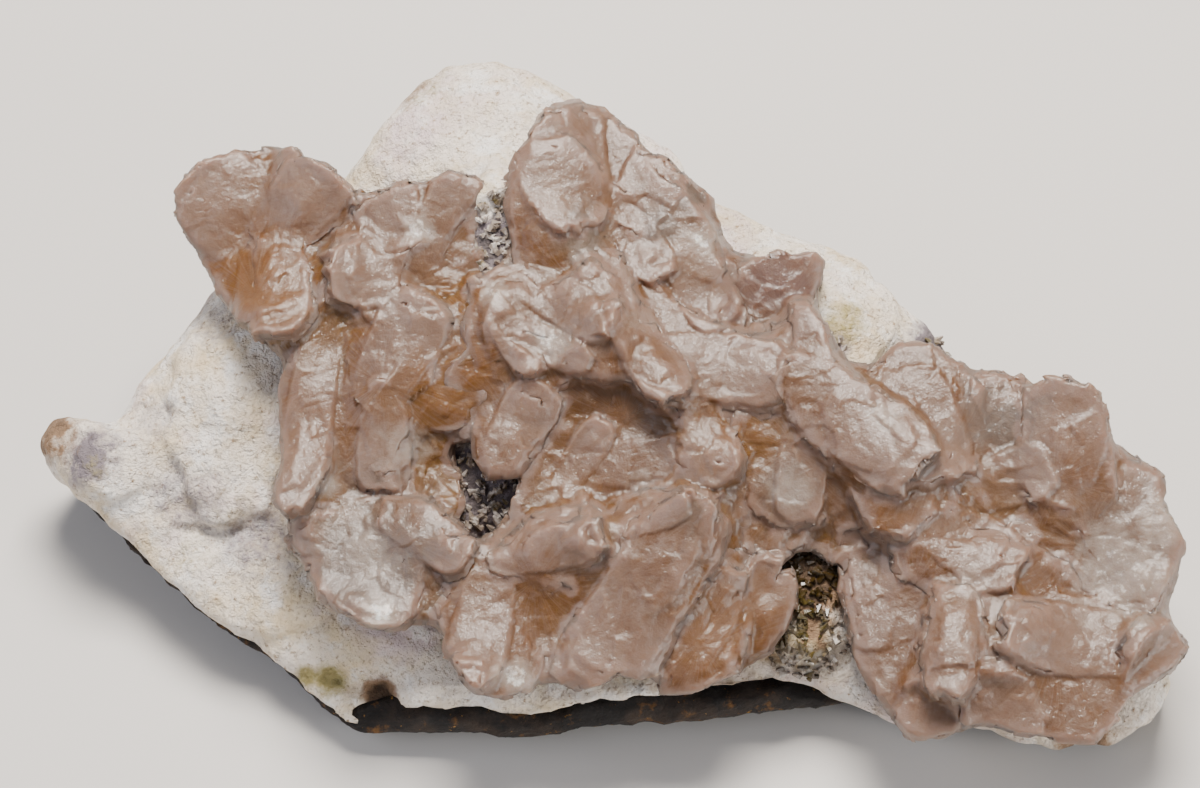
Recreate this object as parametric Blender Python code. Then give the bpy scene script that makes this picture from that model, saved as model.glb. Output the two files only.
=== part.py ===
"""Heulandite specimen: curved peach blades of heulandite on a white crust over dark basalt.

Units are metres and +Z is up. Shapes are drawn in millimetres in the face frame: x to the right, up along the
crystal face, and out of it. An empty tilts that frame back, so that the specimen lies on its basalt side.
"""

import math

import bmesh
import bpy
from mathutils import Vector, noise

# Driving dimensions of the whole specimen
MM = 0.001
FACE_TILT = math.radians(35.0)
FACE_BOTTOM = -44.4
FACE_TOP = 45.3
RIM_HEIGHT = 2.0
RIDGE_HEIGHT = 33.0
FACE_CENTRE = Vector((-2.0, -15.0))
SEAM_GAP = 0.3

# The crust and the rock under it
CRUST_THICKNESS = 6.0
CRUST_EDGE_SLOPE = 1.2
FACE_SWELL = 9.0
SHOULDER_ROUNDNESS = 0.6
LUMP_SIZE = 9.0
LUMP_HEIGHT = 1.1
GRAIN_SIZE = 3.4
GRAIN_HEIGHT = 0.35
FLOOR_INSET = 0.96
FACE_RINGS = 10
BED_RINGS = 4
BED_DEPTH = 10.0

# Domes and hollows of the face: middle, radius, height
FACE_FORMS = [
    ((-15.0, 34.0), 15.0, 5.0),
    ((31.0, 8.0), 12.0, 4.5),
    ((-47.0, 4.0), 11.0, 6.0),
    ((-67.0, -6.0), 8.0, 2.5),
    ((-50.0, -19.0), 12.0, -2.5),
    ((-16.0, -11.0), 6.0, -4.0),
    ((25.0, -25.0), 6.5, -4.0),
    ((28.0, -14.0), 4.0, -3.0),
    ((-12.5, 19.0), 5.0, -2.0),
    ((62.0, -36.0), 9.0, 3.0),
    ((-27.5, -37.5), 3.0, -5.0),
    ((-33.0, -36.5), 2.5, -3.0),
]

# The face's outline, anticlockwise from the right: x, up, and how wide the bare rock shows below the crust.
# A width below zero means that the crust wraps that far down the side.
OUTLINE = [
    (46.3, 4.4, -6.0),
    (42.5, 10.0, -5.0),
    (37.5, 15.0, -7.0),
    (33.8, 18.8, -6.0),
    (28.8, 20.0, -5.0),
    (24.5, 22.5, -6.0),
    (20.0, 24.4, -7.0),
    (16.3, 25.6, -5.0),
    (12.5, 27.5, -5.0),
    (10.0, 32.5, -6.0),
    (5.0, 36.3, -8.0),
    (0.0, 39.0, -7.0),
    (-5.0, 41.3, -6.0),
    (-9.5, 44.0, -5.0),
    (-13.8, 45.3, -6.0),
    (-20.0, 44.8, -7.0),
    (-25.0, 41.3, -6.0),
    (-30.0, 36.3, -5.0),
    (-33.8, 30.0, -6.0),
    (-39.0, 26.5, -8.0),
    (-44.5, 22.0, -7.0),
    (-50.0, 15.0, -6.0),
    (-55.0, 8.8, -6.0),
    (-59.4, 3.8, -5.0),
    (-61.3, -2.0, -4.0),
    (-63.5, -3.2, -4.0),
    (-67.5, -2.3, -4.0),
    (-70.3, -1.6, -5.0),
    (-73.5, -5.0, -4.0),
    (-71.3, -9.4, -2.0),
    (-66.9, -13.8, 0.0),
    (-62.0, -18.1, 0.8),
    (-57.5, -22.5, 1.0),
    (-50.0, -28.8, 1.0),
    (-45.5, -31.5, 0.8),
    (-41.3, -33.8, 1.0),
    (-37.5, -37.5, 1.2),
    (-32.5, -41.9, 2.0),
    (-28.8, -42.8, 3.0),
    (-21.3, -42.3, 3.2),
    (-14.0, -43.0, 3.0),
    (-6.9, -42.8, 2.5),
    (-1.0, -41.4, 3.6),
    (5.9, -41.4, 3.9),
    (12.0, -41.0, 3.8),
    (17.4, -40.3, 3.8),
    (25.0, -39.4, 4.2),
    (32.5, -39.0, 1.5),
    (38.0, -42.0, 0.5),
    (42.5, -42.4, 0.5),
    (48.8, -42.0, 0.5),
    (57.5, -44.4, 0.3),
    (61.3, -43.1, 0.5),
    (65.0, -43.8, 0.3),
    (69.4, -40.6, -1.0),
    (72.9, -36.3, -2.0),
    (72.9, -30.6, -3.0),
    (70.6, -23.8, -4.0),
    (67.5, -15.0, -5.0),
    (61.5, -7.5, -6.0),
    (53.5, -0.5, -6.0),
]

# Blades of each cluster: outline, lift of its front above the crust, lean to the right and upward, root
CLUSTERS = {
    "upper_left_fan": [
        ([(-53.8, 27), (-53.9, 24), (-53.1, 22.6), (-51, 19), (-46, 17), (-41, 20), (-38.5, 25), (-38, 31),
          (-39.3, 32.3), (-42.1, 32.5), (-45.9, 31.9), (-48, 30.9), (-51.9, 29.9)], 6.5, (-0.15, 0.15),
         (-43, 19)),
        ([(-42, 19), (-37, 18), (-34.8, 21), (-33.8, 25.4), (-33.4, 29.1), (-35.8, 30.3), (-37.5, 29.8),
          (-40, 31), (-42.5, 27)], 8.0, (0.15, 0.20), (-38.5, 21)),
        ([(-51.5, 20), (-50, 16), (-47.9, 13), (-44.5, 9.4), (-41.1, 6.6), (-38.5, 8.1), (-36.6, 11.9),
          (-35, 16.4), (-35.2, 21.5), (-40, 23), (-46, 22)], 5.0, (0.10, -0.25), (-42, 17)),
        ([(-44, 21), (-39, 21.5), (-36.5, 16), (-38.5, 10), (-41, 8.5), (-43.5, 13)], 7.0, (-0.10, -0.20),
         (-40.5, 16)),
    ],
    "left_cluster": [
        ([(-33, 21.6), (-31, 14), (-26, 12.5), (-20, 16), (-17.5, 22), (-16.6, 28.5), (-18.9, 29.1),
          (-20.5, 28.2), (-22.1, 27.4), (-24, 27.8), (-28, 26.6), (-30.3, 25.6)], 7.0, (0.10, 0.20),
         (-25, 19)),
        ([(-30, 14.5), (-26, 10.5), (-20, 10.3), (-15.5, 13.8), (-14.8, 17), (-14.8, 20.3), (-16.5, 21.8),
          (-22, 21)], 5.0, (0.20, -0.15), (-22, 16)),
        ([(-33.8, 21), (-33.4, 17.8), (-32.6, 13.3), (-30.3, 11.4), (-25, 13), (-23.5, 18), (-27, 22.5),
          (-31, 24)], 8.5, (-0.10, -0.15), (-28, 17)),
        ([(-37.4, 8.6), (-36.2, 10.6), (-34.6, 12), (-32, 11.5), (-29.5, 3), (-30.5, -6), (-31.3, -12.3),
          (-35, -13.6), (-38.3, -13.9), (-40.3, -12.9), (-39.3, -6.9), (-40.1, -2), (-40, 2)], 6.0,
         (-0.18, 0.05), (-34, -1)),
        ([(-31, 8.5), (-26.5, 11.8), (-22.8, 12.9), (-20.1, 11.8), (-19.8, 8), (-20.8, 1.9), (-23.8, -0.5),
          (-23.4, -2.4), (-25.4, -7.9), (-31.3, -12), (-33.5, -6), (-32.5, 2)], 9.0, (0.12, 0.08), (-27, 0)),
        ([(-24.5, 8), (-20, 9), (-17, 7), (-16.4, 1), (-17.4, -4), (-19, -8), (-24, -8)], 3.5, (-0.10, 0.0),
         (-21, 0)),
        ([(-39.5, -17.6), (-37.5, -19.2), (-35.3, -21.5), (-34.5, -24), (-32.9, -25.8), (-30, -26.5),
          (-27.6, -27.9), (-25, -27.6), (-22.9, -26.1), (-20.5, -24.3), (-19, -17), (-22, -10), (-25.5, -8.1),
          (-33, -12)], 7.0, (-0.05, -0.18), (-28, -17)),
        ([(-21.5, -8.6), (-20, -7.6), (-17.6, -8.8), (-17, -13.1), (-18.5, -15.5), (-21.5, -14)], 5.0,
         (0.10, 0.0), (-19.5, -12)),
        ([(-27, -12), (-21, -12.5), (-16.2, -16.4), (-16.6, -18.2), (-20.5, -23.5), (-25, -22), (-28, -17)],
         8.5, (0.18, 0.10), (-22.5, -17)),
    ],
    "centre_cluster": [
        ([(-6.8, 37.4), (-3.8, 37.8), (-2.3, 38.4), (-0.1, 37.9), (1.1, 36.4), (4.9, 34.3), (4.9, 31.6),
          (8.5, 31), (11.1, 28.3), (14.5, 25.6), (14.9, 21.9), (16.4, 17.5), (15.6, 12.5), (8, 8), (-2, 10),
          (-10, 14), (-12.3, 24.8), (-10.9, 29.8), (-9.3, 33)], 6.0, (0.05, 0.10), (1, 20)),
        ([(-12.1, 24), (-11, 29), (-8.5, 33.5), (-4, 34), (0, 30), (1.5, 24), (-1, 17), (-6, 14.5),
          (-10.5, 17)], 8.5, (-0.10, 0.15), (-4, 19)),
        ([(1, 31), (6, 30.5), (11, 27), (14.3, 22), (15.8, 16.5), (13, 12), (7, 12), (3, 17), (1.5, 24)],
         8.0, (0.15, 0.10), (6, 17)),
        ([(-15.4, 14.9), (-16.6, 11), (-17.2, 8.5), (-16, 5), (-15.2, 2.6), (-12, 1.6), (-7.5, 4), (-4, 8),
          (-4, 14), (-8, 17.8), (-12.5, 16.9)], 10.0, (-0.18, 0.05), (-9, 10)),
        ([(-8, 16.5), (-6, 9), (-4, 3.5), (0, 2), (4, 2.8), (6, 5), (5, 12), (2.6, 18.5), (-3, 20.5)],
         11.5, (0.10, -0.12), (-1, 10)),
        ([(1.5, 18), (3.5, 11), (5, 3.9), (6.1, 1.6), (7, -0.6), (10.1, -1.3), (15.9, -0.1), (20.1, 2.3),
          (22, 3.9), (20, 7.4), (15.6, 9.2), (10, 12), (6, 16.5)], 9.5, (0.08, -0.12), (9, 6)),
        ([(-14.4, 0.9), (-12.9, 1.5), (-7.5, 1.3), (-4.4, -0.6), (-6.9, -5), (-10, -9.4), (-13.8, -10),
          (-15.8, -6.9), (-16, -3.8)], 8.5, (-0.10, -0.15), (-10, -4)),
        ([(-5.5, -1), (-3, 1.5), (3, 1.5), (9, 0.2), (14, -1.5), (16.9, -3.8), (16.5, -7), (16.9, -10),
          (12.5, -11.5), (5, -12.5), (-2, -13), (-8, -12), (-9, -9)], 6.5, (0.0, -0.15), (4, -5)),
        ([(9, -1.5), (14.5, -1.8), (17, -4), (16.6, -9.6), (13, -10.6), (8, -8)], 8.5, (0.15, 0.0), (12, -5)),
        ([(-20.3, -25.4), (-18.3, -30.5), (-16.4, -34.3), (-14.5, -35.9), (-12.5, -36.6), (-8.8, -35.5),
          (-7, -32.3), (-7, -26), (-8, -20), (-12, -17.5), (-16.6, -20.2)], 8.5, (-0.15, -0.18), (-12, -25)),
        ([(-12.6, -18.3), (-10.5, -16), (-8.3, -14.2), (-5, -13.2), (-2.4, -13.4), (0.3, -18), (-0.5, -20.5),
          (-3.6, -22), (-7, -24.9), (-11, -23)], 10.0, (0.10, 0.18), (-7, -19)),
        ([(0.5, -16), (3, -12.1), (6, -11), (9.4, -11.4), (13.3, -12.6), (15.5, -15.1), (14.8, -19.8),
          (13, -21.8), (12.1, -24.1), (10.4, -26.9), (5.5, -30), (2, -29.5), (-0.5, -24), (-1.5, -19.5)],
         10.5, (0.18, 0.10), (5, -20)),
        ([(-6.5, -33.5), (-6.5, -28), (-4.5, -22), (0, -19), (4, -24), (6, -29), (3, -32), (-0.4, -35),
          (-3.1, -35.5)], 7.0, (0.10, -0.22), (-1, -27)),
    ],
    "small_lower_cluster": [
        ([(16.3, -20.8), (13.8, -23.2), (12.4, -26.6), (10.8, -28.8), (8, -31), (6.8, -33), (7.5, -36.2),
          (12, -35.8), (16.9, -33.5), (19, -27), (18.5, -22)], 5.5, (0.10, -0.20), (14, -28)),
        ([(20.3, -20.5), (22, -21.1), (24.1, -20.8), (24.5, -25), (23, -28.4), (20.9, -31.5), (17, -33),
          (17.4, -25)], 6.5, (0.08, 0.05), (20, -27)),
    ],
    "right_cluster": [
        ([(17.4, 16.8), (19.3, 18.1), (20.5, 18.2), (23, 19.1), (24.3, 18.2), (27.1, 18.9), (28.3, 17.6),
          (28, 15), (26.5, 10), (24, 8), (20.8, 9.4), (17.2, 11.2)], 4.0, (-0.05, 0.30), (23, 12)),
        ([(24, 12.5), (26, 12.8), (28, 9.8), (29.3, 4.5), (32.4, 1.9), (35.8, -1.3), (39.3, -3.6),
          (37.1, -9.4), (36.3, -12.5), (30, -10), (25, -5), (23.4, 0), (23.6, 6)], 9.0, (0.15, 0.05),
         (29, 0)),
        ([(17.9, -2.5), (19.4, -1), (22.8, 0.6), (26, 0), (29, -6), (29, -12), (26, -15.5), (21, -15.6),
          (18.3, -13), (17.9, -8)], 6.5, (-0.15, -0.10), (24, -6)),
        ([(33, 2), (34.5, 4.5), (37, 6.6), (40, 7.1), (42, 6.6), (45.5, 4.5), (48, 1.5), (48, -4), (47, -9),
          (48.1, -12.5), (46, -17), (40, -18.5), (37.5, -18.1), (35, -12), (36, -4)], 7.5, (0.05, 0.10),
         (40, -6)),
        ([(31, -6), (37, -4), (41, -8), (42, -14), (38, -17.5), (33, -16), (30.5, -11)], 9.0, (-0.10, -0.18),
         (36, -11)),
        ([(47.5, 3.6), (49.5, 3.9), (51.4, 2.9), (51.4, 1.8), (53.9, 1), (56, -2), (58, -9), (56, -15),
          (51, -17.5), (47, -14), (46, -6), (46.8, 0)], 7.0, (-0.05, 0.12), (51, -8)),
        ([(53, 0.3), (54.2, 1.3), (55.4, 2.8), (58.4, 2.9), (61.9, 0.8), (62.8, -3), (64, -6.5), (64, -13),
          (59, -18), (54, -15), (51, -8)], 9.5, (0.10, 0.12), (57, -9)),
        ([(60, -6.5), (65.3, -6.5), (69.8, -8.8), (69.5, -13.1), (71.6, -16.4), (71.6, -19.1),
          (70.6, -23.5), (69.1, -26.3), (64, -25), (58, -20), (56, -13)], 7.5, (0.15, 0.0), (62, -16)),
        ([(30.3, -17.3), (29.6, -23.9), (30.6, -28), (31.4, -31.8), (33.9, -36.4), (37.8, -41.5),
          (42.4, -40.9), (46, -39), (45, -33), (42, -26), (42, -19), (36, -16.5)], 6.0, (0.12, -0.15),
         (38, -27)),
        ([(41.1, -22.5), (45.6, -22.5), (46.9, -25.8), (46.3, -32.4), (44.5, -35.1), (42.6, -34.5),
          (38.8, -32.1), (39.8, -28), (40.3, -25)], 10.5, (0.05, -0.10), (43, -28)),
        ([(45, -28), (50.4, -27), (52.6, -25.4), (57.8, -23), (63.5, -25), (69.9, -27), (72.4, -30.6),
          (70, -33), (65, -35.5), (60.3, -41.3), (55, -41), (48.8, -40.3), (44, -38), (43, -33)], 7.0,
         (0.05, -0.12), (55, -31)),
        ([(36, -16.5), (43, -17), (50, -16.5), (58, -20), (60, -24), (53, -28), (46, -27), (40, -24),
          (36, -21)], 8.0, (0.0, 0.12), (47, -21)),
    ],
}

# The low intergrown masses that the blades of a cluster rise from: outline, heart, height above the crust
BEDS = {
    "left_cluster": [
        ([(-31, 22), (-26, 25), (-20, 26), (-17, 20), (-16.5, 17), (-19, 12.5), (-18.6, 8), (-17.6, 0),
          (-18.5, -6), (-18, -12), (-17.5, -18), (-21, -23.5), (-29, -25), (-36, -19), (-38, -13),
          (-37.5, -4), (-38, 4), (-34, 10)], (-26, 0), 4.5),
    ],
    "centre_cluster": [
        ([(-9.5, 29), (-4, 34), (3, 33), (10, 26), (13.8, 19), (14, 12), (18, 5), (15, -3), (15, -10),
          (13, -17), (11, -24), (5, -28.5), (0, -33), (-6, -34), (-13, -34), (-17.5, -27), (-13, -19),
          (-9.5, -14), (-9.5, -10), (-14, -6.5), (-14, -1), (-15, 6), (-13.8, 13), (-11, 21)], (0, -4), 5.0),
    ],
    "right_cluster": [
        ([(25.3, 10), (28, 8), (30.5, 3), (34, 0), (36, -8), (33, -12), (27, -14), (20, -13.5), (19, -6),
          (20.5, -2), (24.8, 1)], (28, -4), 5.0),
        ([(33, 2), (38, 5.5), (46, 3.5), (51, 1.5), (58, 1.5), (63.5, -6.5), (68.5, -11), (69, -18),
          (68.5, -25), (70, -31), (62, -38), (52, -39.5), (40, -39), (33.5, -33), (31.5, -24), (34, -16),
          (33, -8)], (48, -15), 5.0),
    ],
}

# Solids that the exact Boolean leaves empty or short of a blade
EXACT_FAILS = ("white_crust", "left_cluster", "centre_cluster", "right_cluster")

# The cut of one blade, from its root to its crown: each ring's share of the outline and its height
ROOT_TAPER = 0.86
ROOT_DEPTH = 3.0
BEVEL_SHARE = 0.92
BEVEL_HEIGHT = 1.1
STEPPED_LIFT = 10.0
STEP_SHARE = 0.68
STEP_EDGE_SHARE = 0.64
STEP_HEIGHT = 0.9
CROWN_HEIGHT = 0.4
FRONT_BOW = 0.012

# The cut of a bed: its foot and its rings, as shares of its outline
BED_FOOT_SHARE = 0.97
BED_SHARES = (1.0, 0.62, 0.3)

# Colours as linear red, green and blue, with roughness
BASALT_LOOK = ((0.022, 0.017, 0.014), 0.85)
CRUST_LOOK = ((0.68, 0.62, 0.53), 0.7)
HEULANDITE_LOOK = ((0.55, 0.37, 0.27), 0.3)


def clear_scene():
    """Start with no objects."""
    for thing in list(bpy.data.objects):
        bpy.data.objects.remove(thing, do_unlink=True)


def clamp(value, low, high):
    return max(low, min(high, value))


def out_at_height(up, height):
    """How far out of the face frame a point lies that is this high above the floor."""
    floor_drop = RIM_HEIGHT - FACE_BOTTOM * math.sin(FACE_TILT)
    return (height - floor_drop - up * math.sin(FACE_TILT)) / math.cos(FACE_TILT)


def sheet_out(up):
    """The plain sheet that the face follows, from the low front rim to the ridge at the back."""
    share = clamp((up - FACE_BOTTOM) / (FACE_TOP - FACE_BOTTOM), 0.0, 1.0)
    return out_at_height(up, RIM_HEIGHT + (RIDGE_HEIGHT - RIM_HEIGHT) * share)


def swell(x, up):
    """How far the face stands proud of the sheet, with its domes and hollows."""
    height = FACE_SWELL
    for (form_x, form_up), radius, rise in FACE_FORMS:
        distance = math.hypot(x - form_x, up - form_up) / radius
        height += rise * math.exp(-distance * distance)
    return height


def lumps(point):
    """Uneven growth of the crust, in lumps and in grains."""
    coarse = noise.noise(point / LUMP_SIZE) * LUMP_HEIGHT
    return coarse + noise.noise(point / GRAIN_SIZE + Vector((7.0, 3.0, 1.0))) * GRAIN_HEIGHT


def rim_point(index):
    """One point of the outline, and the way from the face's centre to it."""
    x, up, bare_width = OUTLINE[index % len(OUTLINE)]
    return Vector((x, up)), Vector((x, up)) - FACE_CENTRE, bare_width


def face_point(index, reach, swelling=1.0):
    """A point of the smooth face: reach is 0 at its centre and 1 on its outline."""
    _, spoke, _ = rim_point(index)
    flat = FACE_CENTRE + spoke * reach
    shoulder = max(0.0, 1.0 - reach * reach) ** (SHOULDER_ROUNDNESS / 2)
    return Vector((flat.x, flat.y, sheet_out(flat.y) + swell(*flat) * shoulder * swelling))


def floor_point(index):
    """Where the side under a point of the outline meets the floor.

    Below the face it runs straight back, so that the face hides it. Behind the ridge it runs straight down.
    """
    before, _, _ = rim_point(index - 1)
    after, _, _ = rim_point(index + 1)
    along = (after - before).normalized()
    outward_up = -along.x
    plumb = clamp(0.5 + 0.5 * outward_up, 0.0, 1.0)
    rim = face_point(index, 1.0)
    height = (rim.z - out_at_height(rim.y, 0.0)) * math.cos(FACE_TILT)
    up = rim.y - plumb * height * math.sin(FACE_TILT)
    flat = FACE_CENTRE + (Vector((rim.x, up)) - FACE_CENTRE) * FLOOR_INSET
    return Vector((flat.x, flat.y, out_at_height(flat.y, 0.0)))


def rolled_sheet(rows, place, swollen):
    """A closed body from a grid that is rolled round: place gives the point of each row and spoke.

    Swollen moves its surface out by that much, for the gap that a neighbour keeps to it.
    """
    around = len(OUTLINE)
    bm = bmesh.new()
    bmesh.ops.create_grid(bm, x_segments=around, y_segments=rows, size=1.0)
    for vert in bm.verts:
        index = round((vert.co.x + 1.0) / 2.0 * around)
        row = round((vert.co.y + 1.0) / 2.0 * rows)
        vert.co = place(index % around, row)
    bmesh.ops.remove_doubles(bm, verts=bm.verts, dist=0.01)
    bmesh.ops.triangulate(bm, faces=bm.faces)
    bmesh.ops.recalc_face_normals(bm, faces=bm.faces)
    bm.normal_update()
    moves = [(vert, vert.normal * swollen) for vert in bm.verts]
    for vert, move in moves:
        vert.co += move
    return bm


def matrix_rock(swollen=0.0):
    """The whole matrix, crust and rock in one: face, sides and the flat that it rests on."""
    side_rows = 3

    def place(index, row):
        if row <= FACE_RINGS:
            reach = math.sin(math.pi / 2 * row / FACE_RINGS)
            point = face_point(index, reach)
            return point + Vector((0.0, 0.0, lumps(point)))
        rim = face_point(index, 1.0)
        rim.z += lumps(rim)
        foot = floor_point(index)
        if row <= FACE_RINGS + side_rows:
            share = (row - FACE_RINGS) / side_rows
            point = rim.lerp(foot, share)
            rough = noise.noise_vector(point / GRAIN_SIZE) * (1.0 - share)
            return point + Vector((rough.x, rough.y, 0.0))
        return Vector((FACE_CENTRE.x, FACE_CENTRE.y, out_at_height(FACE_CENTRE.y, 0.0)))

    return rolled_sheet(FACE_RINGS + side_rows + 1, place, swollen)


def rock_bed(swollen=0.0):
    """The solid below the underside of the crust, which splits the matrix in two."""
    reaches = [math.sin(math.pi / 2 * row / BED_RINGS) for row in range(BED_RINGS + 1)]
    reaches += [1.12, 1.3]
    last = len(reaches)

    def place(index, row):
        if row >= last:
            low = out_at_height(0.0, -BED_DEPTH)
            edge = face_point(index, reaches[-1])
            share = 1.0 if row == last else 0.0
            flat = FACE_CENTRE.lerp(edge.xy, share)
            return Vector((flat.x, flat.y, low - flat.y * math.tan(FACE_TILT)))
        reach = reaches[row]
        _, spoke, bare_width = rim_point(index)
        inside = (1.0 - reach) * spoke.length - bare_width
        cover = clamp(inside * CRUST_EDGE_SLOPE, -CRUST_THICKNESS, CRUST_THICKNESS)
        point = face_point(index, reach)
        return point - Vector((0.0, 0.0, cover))

    return rolled_sheet(last + 1, place, swollen)


def drawn_in(outline, centre, share):
    """The outline, shrunk towards a centre to this share of its size."""
    return [centre + (Vector(point) - centre) * share for point in outline]


def stacked_rings(rings, crown):
    """A closed body through rings of equal count, from its foot to its crown."""
    bm = bmesh.new()
    loops = [[bm.verts.new(point) for point in ring] for ring in rings]
    count = len(rings[0])
    for lower, upper in zip(loops, loops[1:]):
        for index in range(count):
            after = (index + 1) % count
            bm.faces.new((lower[index], lower[after], upper[after], upper[index]))
    bm.faces.new(loops[0])
    tip = bm.verts.new(crown)
    for index in range(count):
        bm.faces.new((loops[-1][index], loops[-1][(index + 1) % count], tip))
    bmesh.ops.triangulate(bm, faces=bm.faces)
    bmesh.ops.recalc_face_normals(bm, faces=bm.faces)
    return bm


def blade(outline, lift, lean, root):
    """One blade: a root in the crust, a flared body and a bevelled rim.

    The blades that stand out furthest have a step of growth on their front.
    """
    root = Vector(root)
    middle = sum((Vector(point) for point in outline), Vector((0.0, 0.0))) / len(outline)
    heart = middle.lerp(root, 0.5)

    def front(flat, height):
        away = flat - middle
        out = sheet_out(flat.y) + swell(*middle) + lift + height
        out += lean[0] * away.x + lean[1] * away.y - FRONT_BOW * away.length_squared
        return Vector((flat.x, flat.y, out))

    def front_ring(centre, share, height):
        return [front(flat, height) for flat in drawn_in(outline, centre, share)]

    root_out = sheet_out(root.y) + swell(*root) - ROOT_DEPTH
    rings = [[flat.to_3d() + Vector((0.0, 0.0, root_out)) for flat in drawn_in(outline, root, ROOT_TAPER)]]
    rings.append(front_ring(middle, 1.0, 0.0))
    rings.append(front_ring(middle, BEVEL_SHARE, BEVEL_HEIGHT))
    if lift >= STEPPED_LIFT:
        rings.append(front_ring(heart, STEP_SHARE, BEVEL_HEIGHT))
        rings.append(front_ring(heart, STEP_EDGE_SHARE, BEVEL_HEIGHT + STEP_HEIGHT))
    return stacked_rings(rings, front(heart, BEVEL_HEIGHT + STEP_HEIGHT + CROWN_HEIGHT))


def bed(outline, heart, height):
    """The mass of small blades between the large ones, which follows the crust at this height."""
    heart = Vector(heart)

    def over_crust(flat, rise):
        return Vector((flat.x, flat.y, sheet_out(flat.y) + swell(*flat) + rise))

    rings = [[over_crust(flat, -ROOT_DEPTH) for flat in drawn_in(outline, heart, BED_FOOT_SHARE)]]
    for share in BED_SHARES:
        rings.append([over_crust(flat, height) for flat in drawn_in(outline, heart, share)])
    return stacked_rings(rings, over_crust(heart, height))


def material(name, look):
    colour, roughness = look
    made = bpy.data.materials.new(name)
    made.use_nodes = True
    shader = made.node_tree.nodes["Principled BSDF"]
    shader.inputs["Base Color"].default_value = (*colour, 1.0)
    shader.inputs["Roughness"].default_value = roughness
    shader.inputs["Metallic"].default_value = 0.0
    made.diffuse_color = (*colour, 1.0)
    return made


def add_object(name, bm, group, parent, look=None):
    """Turn a body drawn in millimetres into an object in the given collection."""
    bmesh.ops.scale(bm, vec=(MM, MM, MM), verts=bm.verts)
    mesh = bpy.data.meshes.new(name)
    bm.to_mesh(mesh)
    bm.free()
    if look:
        mesh.materials.append(look)
    thing = bpy.data.objects.new(name, mesh)
    thing.parent = parent
    group.objects.link(thing)
    return thing


def add_cutter(name, bm, group, parent):
    cutter = add_object(name, bm, group, parent)
    cutter.hide_render = True
    cutter.display_type = "WIRE"
    return cutter


def cut(thing, operation, other):
    """Join, cut or keep what is shared with another solid."""
    step = thing.modifiers.new(operation.lower(), "BOOLEAN")
    step.operation = operation
    step.solver = "MANIFOLD" if thing.name in EXACT_FAILS else "EXACT"
    step.object = other
    return step


def settle(thing):
    """Apply the modifiers, and drop chips that a cut leaves loose from the main body."""
    bpy.context.view_layer.update()
    seen = thing.evaluated_get(bpy.context.evaluated_depsgraph_get())
    mesh = bpy.data.meshes.new_from_object(seen)
    bm = bmesh.new()
    bm.from_mesh(mesh)
    bodies = []
    left = set(bm.verts)
    while left:
        body = set()
        edge = [next(vert for vert in bm.verts if vert in left)]
        while edge:
            vert = edge.pop()
            if vert in body:
                continue
            body.add(vert)
            edge.extend(link.other_vert(vert) for link in vert.link_edges)
        left -= body
        bodies.append(body)
    bodies.sort(key=len)
    for body in bodies[:-1]:
        bmesh.ops.delete(bm, geom=list(body), context="VERTS")
    bmesh.ops.triangulate(bm, faces=bm.faces)
    bm.to_mesh(mesh)
    bm.free()
    thing.modifiers.clear()
    thing.data = mesh


def stand_on_origin(tilt, things):
    """Move the tilted frame so that the origin is the bottom centre of the whole specimen."""
    bpy.context.view_layer.update()
    points = [thing.matrix_world @ vert.co for thing in things for vert in thing.data.vertices]
    low = Vector(min(point[axis] for point in points) for axis in range(3))
    high = Vector(max(point[axis] for point in points) for axis in range(3))
    tilt.location = Vector((-(low.x + high.x) / 2, -(low.y + high.y) / 2, -low.z))


def main():
    clear_scene()
    specimen = bpy.data.collections.new("heulandite_specimen")
    cutters = bpy.data.collections.new("cutters")
    for group in (specimen, cutters):
        bpy.context.scene.collection.children.link(group)
    tilt = bpy.data.objects.new("tilted_face", None)
    tilt.rotation_euler = (FACE_TILT, 0.0, 0.0)
    specimen.objects.link(tilt)
    basalt = material("basalt", BASALT_LOOK)
    crust = material("white_crust", CRUST_LOOK)
    heulandite = material("heulandite", HEULANDITE_LOOK)

    matrix = add_cutter("matrix_shape", matrix_rock(), cutters, tilt)
    raised_matrix = add_cutter("matrix_with_gap", matrix_rock(swollen=SEAM_GAP), cutters, tilt)
    raised_bed = add_cutter("bed_with_gap", rock_bed(swollen=SEAM_GAP), cutters, tilt)

    base = add_object("basalt_base", rock_bed(), specimen, tilt, basalt)
    cut(base, "INTERSECT", matrix)
    cover = add_object("white_crust", matrix_rock(), specimen, tilt, crust)
    cut(cover, "DIFFERENCE", raised_bed)
    things = [base, cover]

    for name, blades in CLUSTERS.items():
        first = add_object(name, blade(*blades[0]), specimen, tilt, heulandite)
        for number, shape in enumerate(blades[1:], start=2):
            cut(first, "UNION", add_cutter(f"{name}_{number}", blade(*shape), cutters, tilt))
        for number, shape in enumerate(BEDS.get(name, []), start=1):
            cut(first, "UNION", add_cutter(f"{name}_bed_{number}", bed(*shape), cutters, tilt))
        cut(first, "DIFFERENCE", raised_matrix)
        things.append(first)

    for thing in things:
        settle(thing)
    stand_on_origin(tilt, things)


main()
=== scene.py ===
"""Looks of the heulandite specimen: waxy peach blades on a white crust over dark basalt, on a pale floor."""

import math

import bmesh
import bpy
import numpy as np
from mathutils import Euler, Matrix, Vector, noise


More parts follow.
